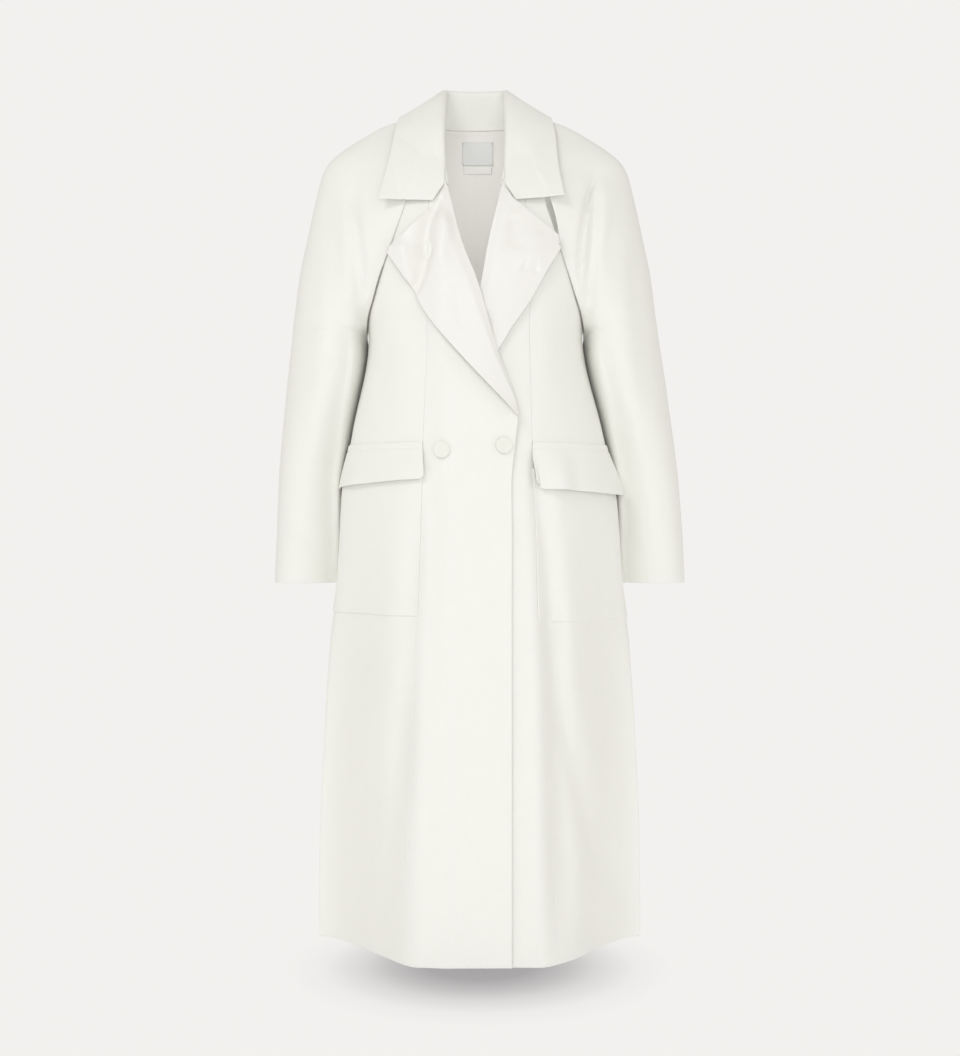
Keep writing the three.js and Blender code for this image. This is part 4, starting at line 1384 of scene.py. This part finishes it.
# Radius and height of the disc's profile, from the middle of its back to the middle of its face.
BUTTON_PROFILE = [
    (0, 0),
    (10.5, 0),
    (11.4, 0.25),
    (12, 0.9),
    (12, 2.6),
    (11.8, 3.1),
    (11.4, 3.4),
    (10.8, 3.55),
    (10.2, 3.52),
    (9.6, 3.44),
    (8.8, 3.4),
    (5, 3.4),
    (0, 3.4),
]
BUTTON_SIDES = 96
# Gap between the cloth and a button's back, which its thread leaves.
BUTTON_SEAT = 0.84
# Distance from the middle towards the right, height, and how far the face leans to the left.
BUTTONS = {"button_right": (50, -505, 0), "button_left": (-36, -499, 0.1)}


def resin_material():
    """Half-matt resin with slow clouds, which also stir its surface a little."""
    material, shader = new_material("ivory_resin", 0.38)
    tree = material.node_tree
    place = tree.nodes.new("ShaderNodeTexCoord")
    clouds = noise(tree, place.outputs["Object"], 180, 3, distortion=1.5)
    bump = tree.nodes.new("ShaderNodeBump")
    bump.inputs["Strength"].default_value = 0.15
    bump.inputs["Distance"].default_value = 0.0001
    feed(tree, bump.inputs["Height"], clouds)
    feed(tree, shader.inputs["Base Color"], two_tone(tree, clouds, BUTTON_IVORY, 0.95, 1.03))
    feed(tree, shader.inputs["Normal"], bump.outputs["Normal"])
    return material


def button_disc(x, z, tilt):
    """Points and faces of a disc: its profile turned about a line along the cloth's normal."""
    place = np.array([float(x)]), np.array([float(z)])
    turn = turn_at(*place)
    seat, above = (
        skin(-1, turn, place[1], lap_lift(*place) + off)[0] * (-1, 1, 1) for off in (0, 1)
    )
    out = above - seat + (tilt, 0, 0)
    out /= np.linalg.norm(out)
    seat = seat + (float(lean(z)), 0, 0) + out * BUTTON_SEAT
    rings = rings_about(seat, out, (0, 0, 1), BUTTON_PROFILE[1:-1], BUTTON_SIDES)
    return closed_rings(rings, seat, seat + BUTTON_PROFILE[-1][1] * out)


resin = resin_material()
for name, (x, z, tilt) in BUTTONS.items():
    disc = solid(f"{name}_disc", *button_disc(x, z, tilt))
    disc.data.materials.append(resin)
    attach(disc, "root")
    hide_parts(name)

# ---- Floor and light -------------------------------------------------------------------------
# A plain pale floor below the hem with a soft oval of painted shade on it, the same pale colour
# all round, broad soft lights from both sides, above and in front, and a small one in the neck.

SURROUND = (0.896, 0.880, 0.863)
FLOOR_AT = -1262
FLOOR_RADIUS = 4200
FLOOR_RINGS = (0.05, 0.2, 0.4, 0.7, 1)
FLOOR_SIDES = 128
# Soft oval of painted shade beneath the hem, standing in for the coat's shadow: its middle and half
# widths in metres, then the share of the way out and the colour there, up to the reach where the
# floor has its own colour.
SHADE_MIDDLE = (0.007, -0.03, FLOOR_AT * MM)
SHADE_SIZE = (0.22, 0.26, 1)
SHADE_REACH = 1.3
SHADES = [
    (0, (0.37, 0.36, 0.365)),
    (0.36, (0.407, 0.395, 0.4)),
    (0.6, (0.55, 0.54, 0.537)),
    (0.78, (0.7, 0.687, 0.678)),
    (1.05, (0.852, 0.837, 0.822)),
]
DAYLIGHT = (1, 0.97, 0.92)
DAYLIGHT_STRENGTH = 0.64
LAMP_WHITE = (0.93, 0.97, 1)
INSIDE_WHITE = (0.98, 0.97, 0.96)
# Name, place, the place it faces, size in metres, power in watts and colour.
LIGHTS = [
    ("light_left", (-2.9, -1.4, -0.45), (0, 0, -0.65), (1, 1.6), 5, LAMP_WHITE),
    ("light_right", (2.9, -1.4, -0.45), (0, 0, -0.65), (1, 1.6), 8, LAMP_WHITE),
    ("light_key", (-1.3, -2.2, 1.6), (0, 0, -0.6), (1, 0.7), 17, LAMP_WHITE),
    ("light_front", (0.2, -3.2, -0.3), (0, 0, -0.6), (1.6, 1.6), 21, LAMP_WHITE),
    ("light_inside", (0, -0.03, -0.17), (0, 0.1, -0.17), (0.05, 0.26), 0.115, INSIDE_WHITE),
]


def floor_material():
    """Floor that glows evenly in the surround's colour, so that the two meet unseen, with an oval
    of painted shade beneath the coat: its colour is a ramp over the distance from the middle in
    half widths."""
    material = bpy.data.materials.new("pale_floor")
    material.use_nodes = True
    tree = material.node_tree
    tree.nodes.remove(tree.nodes["Principled BSDF"])
    place = tree.nodes.new("ShaderNodeTexCoord")
    off = vector_of(tree, "SUBTRACT", place.outputs["Object"], SHADE_MIDDLE)
    share = vector_of(tree, "DIVIDE", off, [SHADE_REACH * size for size in SHADE_SIZE])
    length = tree.nodes.new("ShaderNodeVectorMath")
    length.operation = "LENGTH"
    feed(tree, length.inputs[0], share)
    ramp = tree.nodes.new("ShaderNodeValToRGB")
    stops = ramp.color_ramp.elements
    stops[0].color, stops[1].color = (*SHADES[0][1], 1), (*SURROUND, 1)
    for reach, colour in SHADES[1:]:
        stops.new(reach / SHADE_REACH).color = (*colour, 1)
    feed(tree, ramp.inputs["Fac"], length.outputs["Value"])
    glow = tree.nodes.new("ShaderNodeEmission")
    feed(tree, glow.inputs["Color"], ramp.outputs["Color"])
    feed(tree, tree.nodes["Material Output"].inputs["Surface"], glow.outputs["Emission"])
    return material


floor_profile = [(share * FLOOR_RADIUS, 0) for share in FLOOR_RINGS]
floor_rings = rings_about((0, 0, FLOOR_AT), (0, 0, 1), (1, 0, 0), floor_profile, FLOOR_SIDES)
floor_number = np.arange(floor_rings[..., 0].size).reshape(-1, FLOOR_SIDES)
floor_number = np.concatenate([floor_number, floor_number[:, :1]], 1)
floor_faces = quads(floor_number).tolist() + [list(range(FLOOR_SIDES))]
floor = solid("floor", floor_rings.reshape(-1, 3), floor_faces)
floor.data.materials.append(floor_material())

world = bpy.data.worlds.new("surround")
bpy.context.scene.world = world
world.use_nodes = True
world_nodes, world_links = world.node_tree.nodes, world.node_tree.links
seen = world_nodes["Background"]
seen.inputs["Color"].default_value = (*SURROUND, 1)
lighting = world_nodes.new("ShaderNodeBackground")
lighting.inputs["Color"].default_value = (*DAYLIGHT, 1)
lighting.inputs["Strength"].default_value = DAYLIGHT_STRENGTH
world_path = world_nodes.new("ShaderNodeLightPath")
world_mix = world_nodes.new("ShaderNodeMixShader")
world_links.new(world_path.outputs["Is Camera Ray"], world_mix.inputs["Fac"])
world_links.new(lighting.outputs["Background"], world_mix.inputs[1])
world_links.new(seen.outputs["Background"], world_mix.inputs[2])
world_links.new(world_mix.outputs["Shader"], world_nodes["World Output"].inputs["Surface"])


def soft_light(name, at, aim, size, power, tint):
    """Soft rectangular light at a place, facing another."""
    lamp = bpy.data.lights.new(name, "AREA")
    lamp.shape = "RECTANGLE"
    lamp.size, lamp.size_y = size
    lamp.energy = power
    lamp.color = tint
    made = bpy.data.objects.new(name, lamp)
    made.location = at
    made.rotation_mode = "QUATERNION"
    made.rotation_quaternion = (Vector(aim) - Vector(at)).to_track_quat("-Z", "Y")
    bpy.context.collection.objects.link(made)


for light in LIGHTS:
    soft_light(*light)

view_settings = bpy.context.scene.view_settings
view_settings.view_transform = "Standard"
view_settings.look = "None"
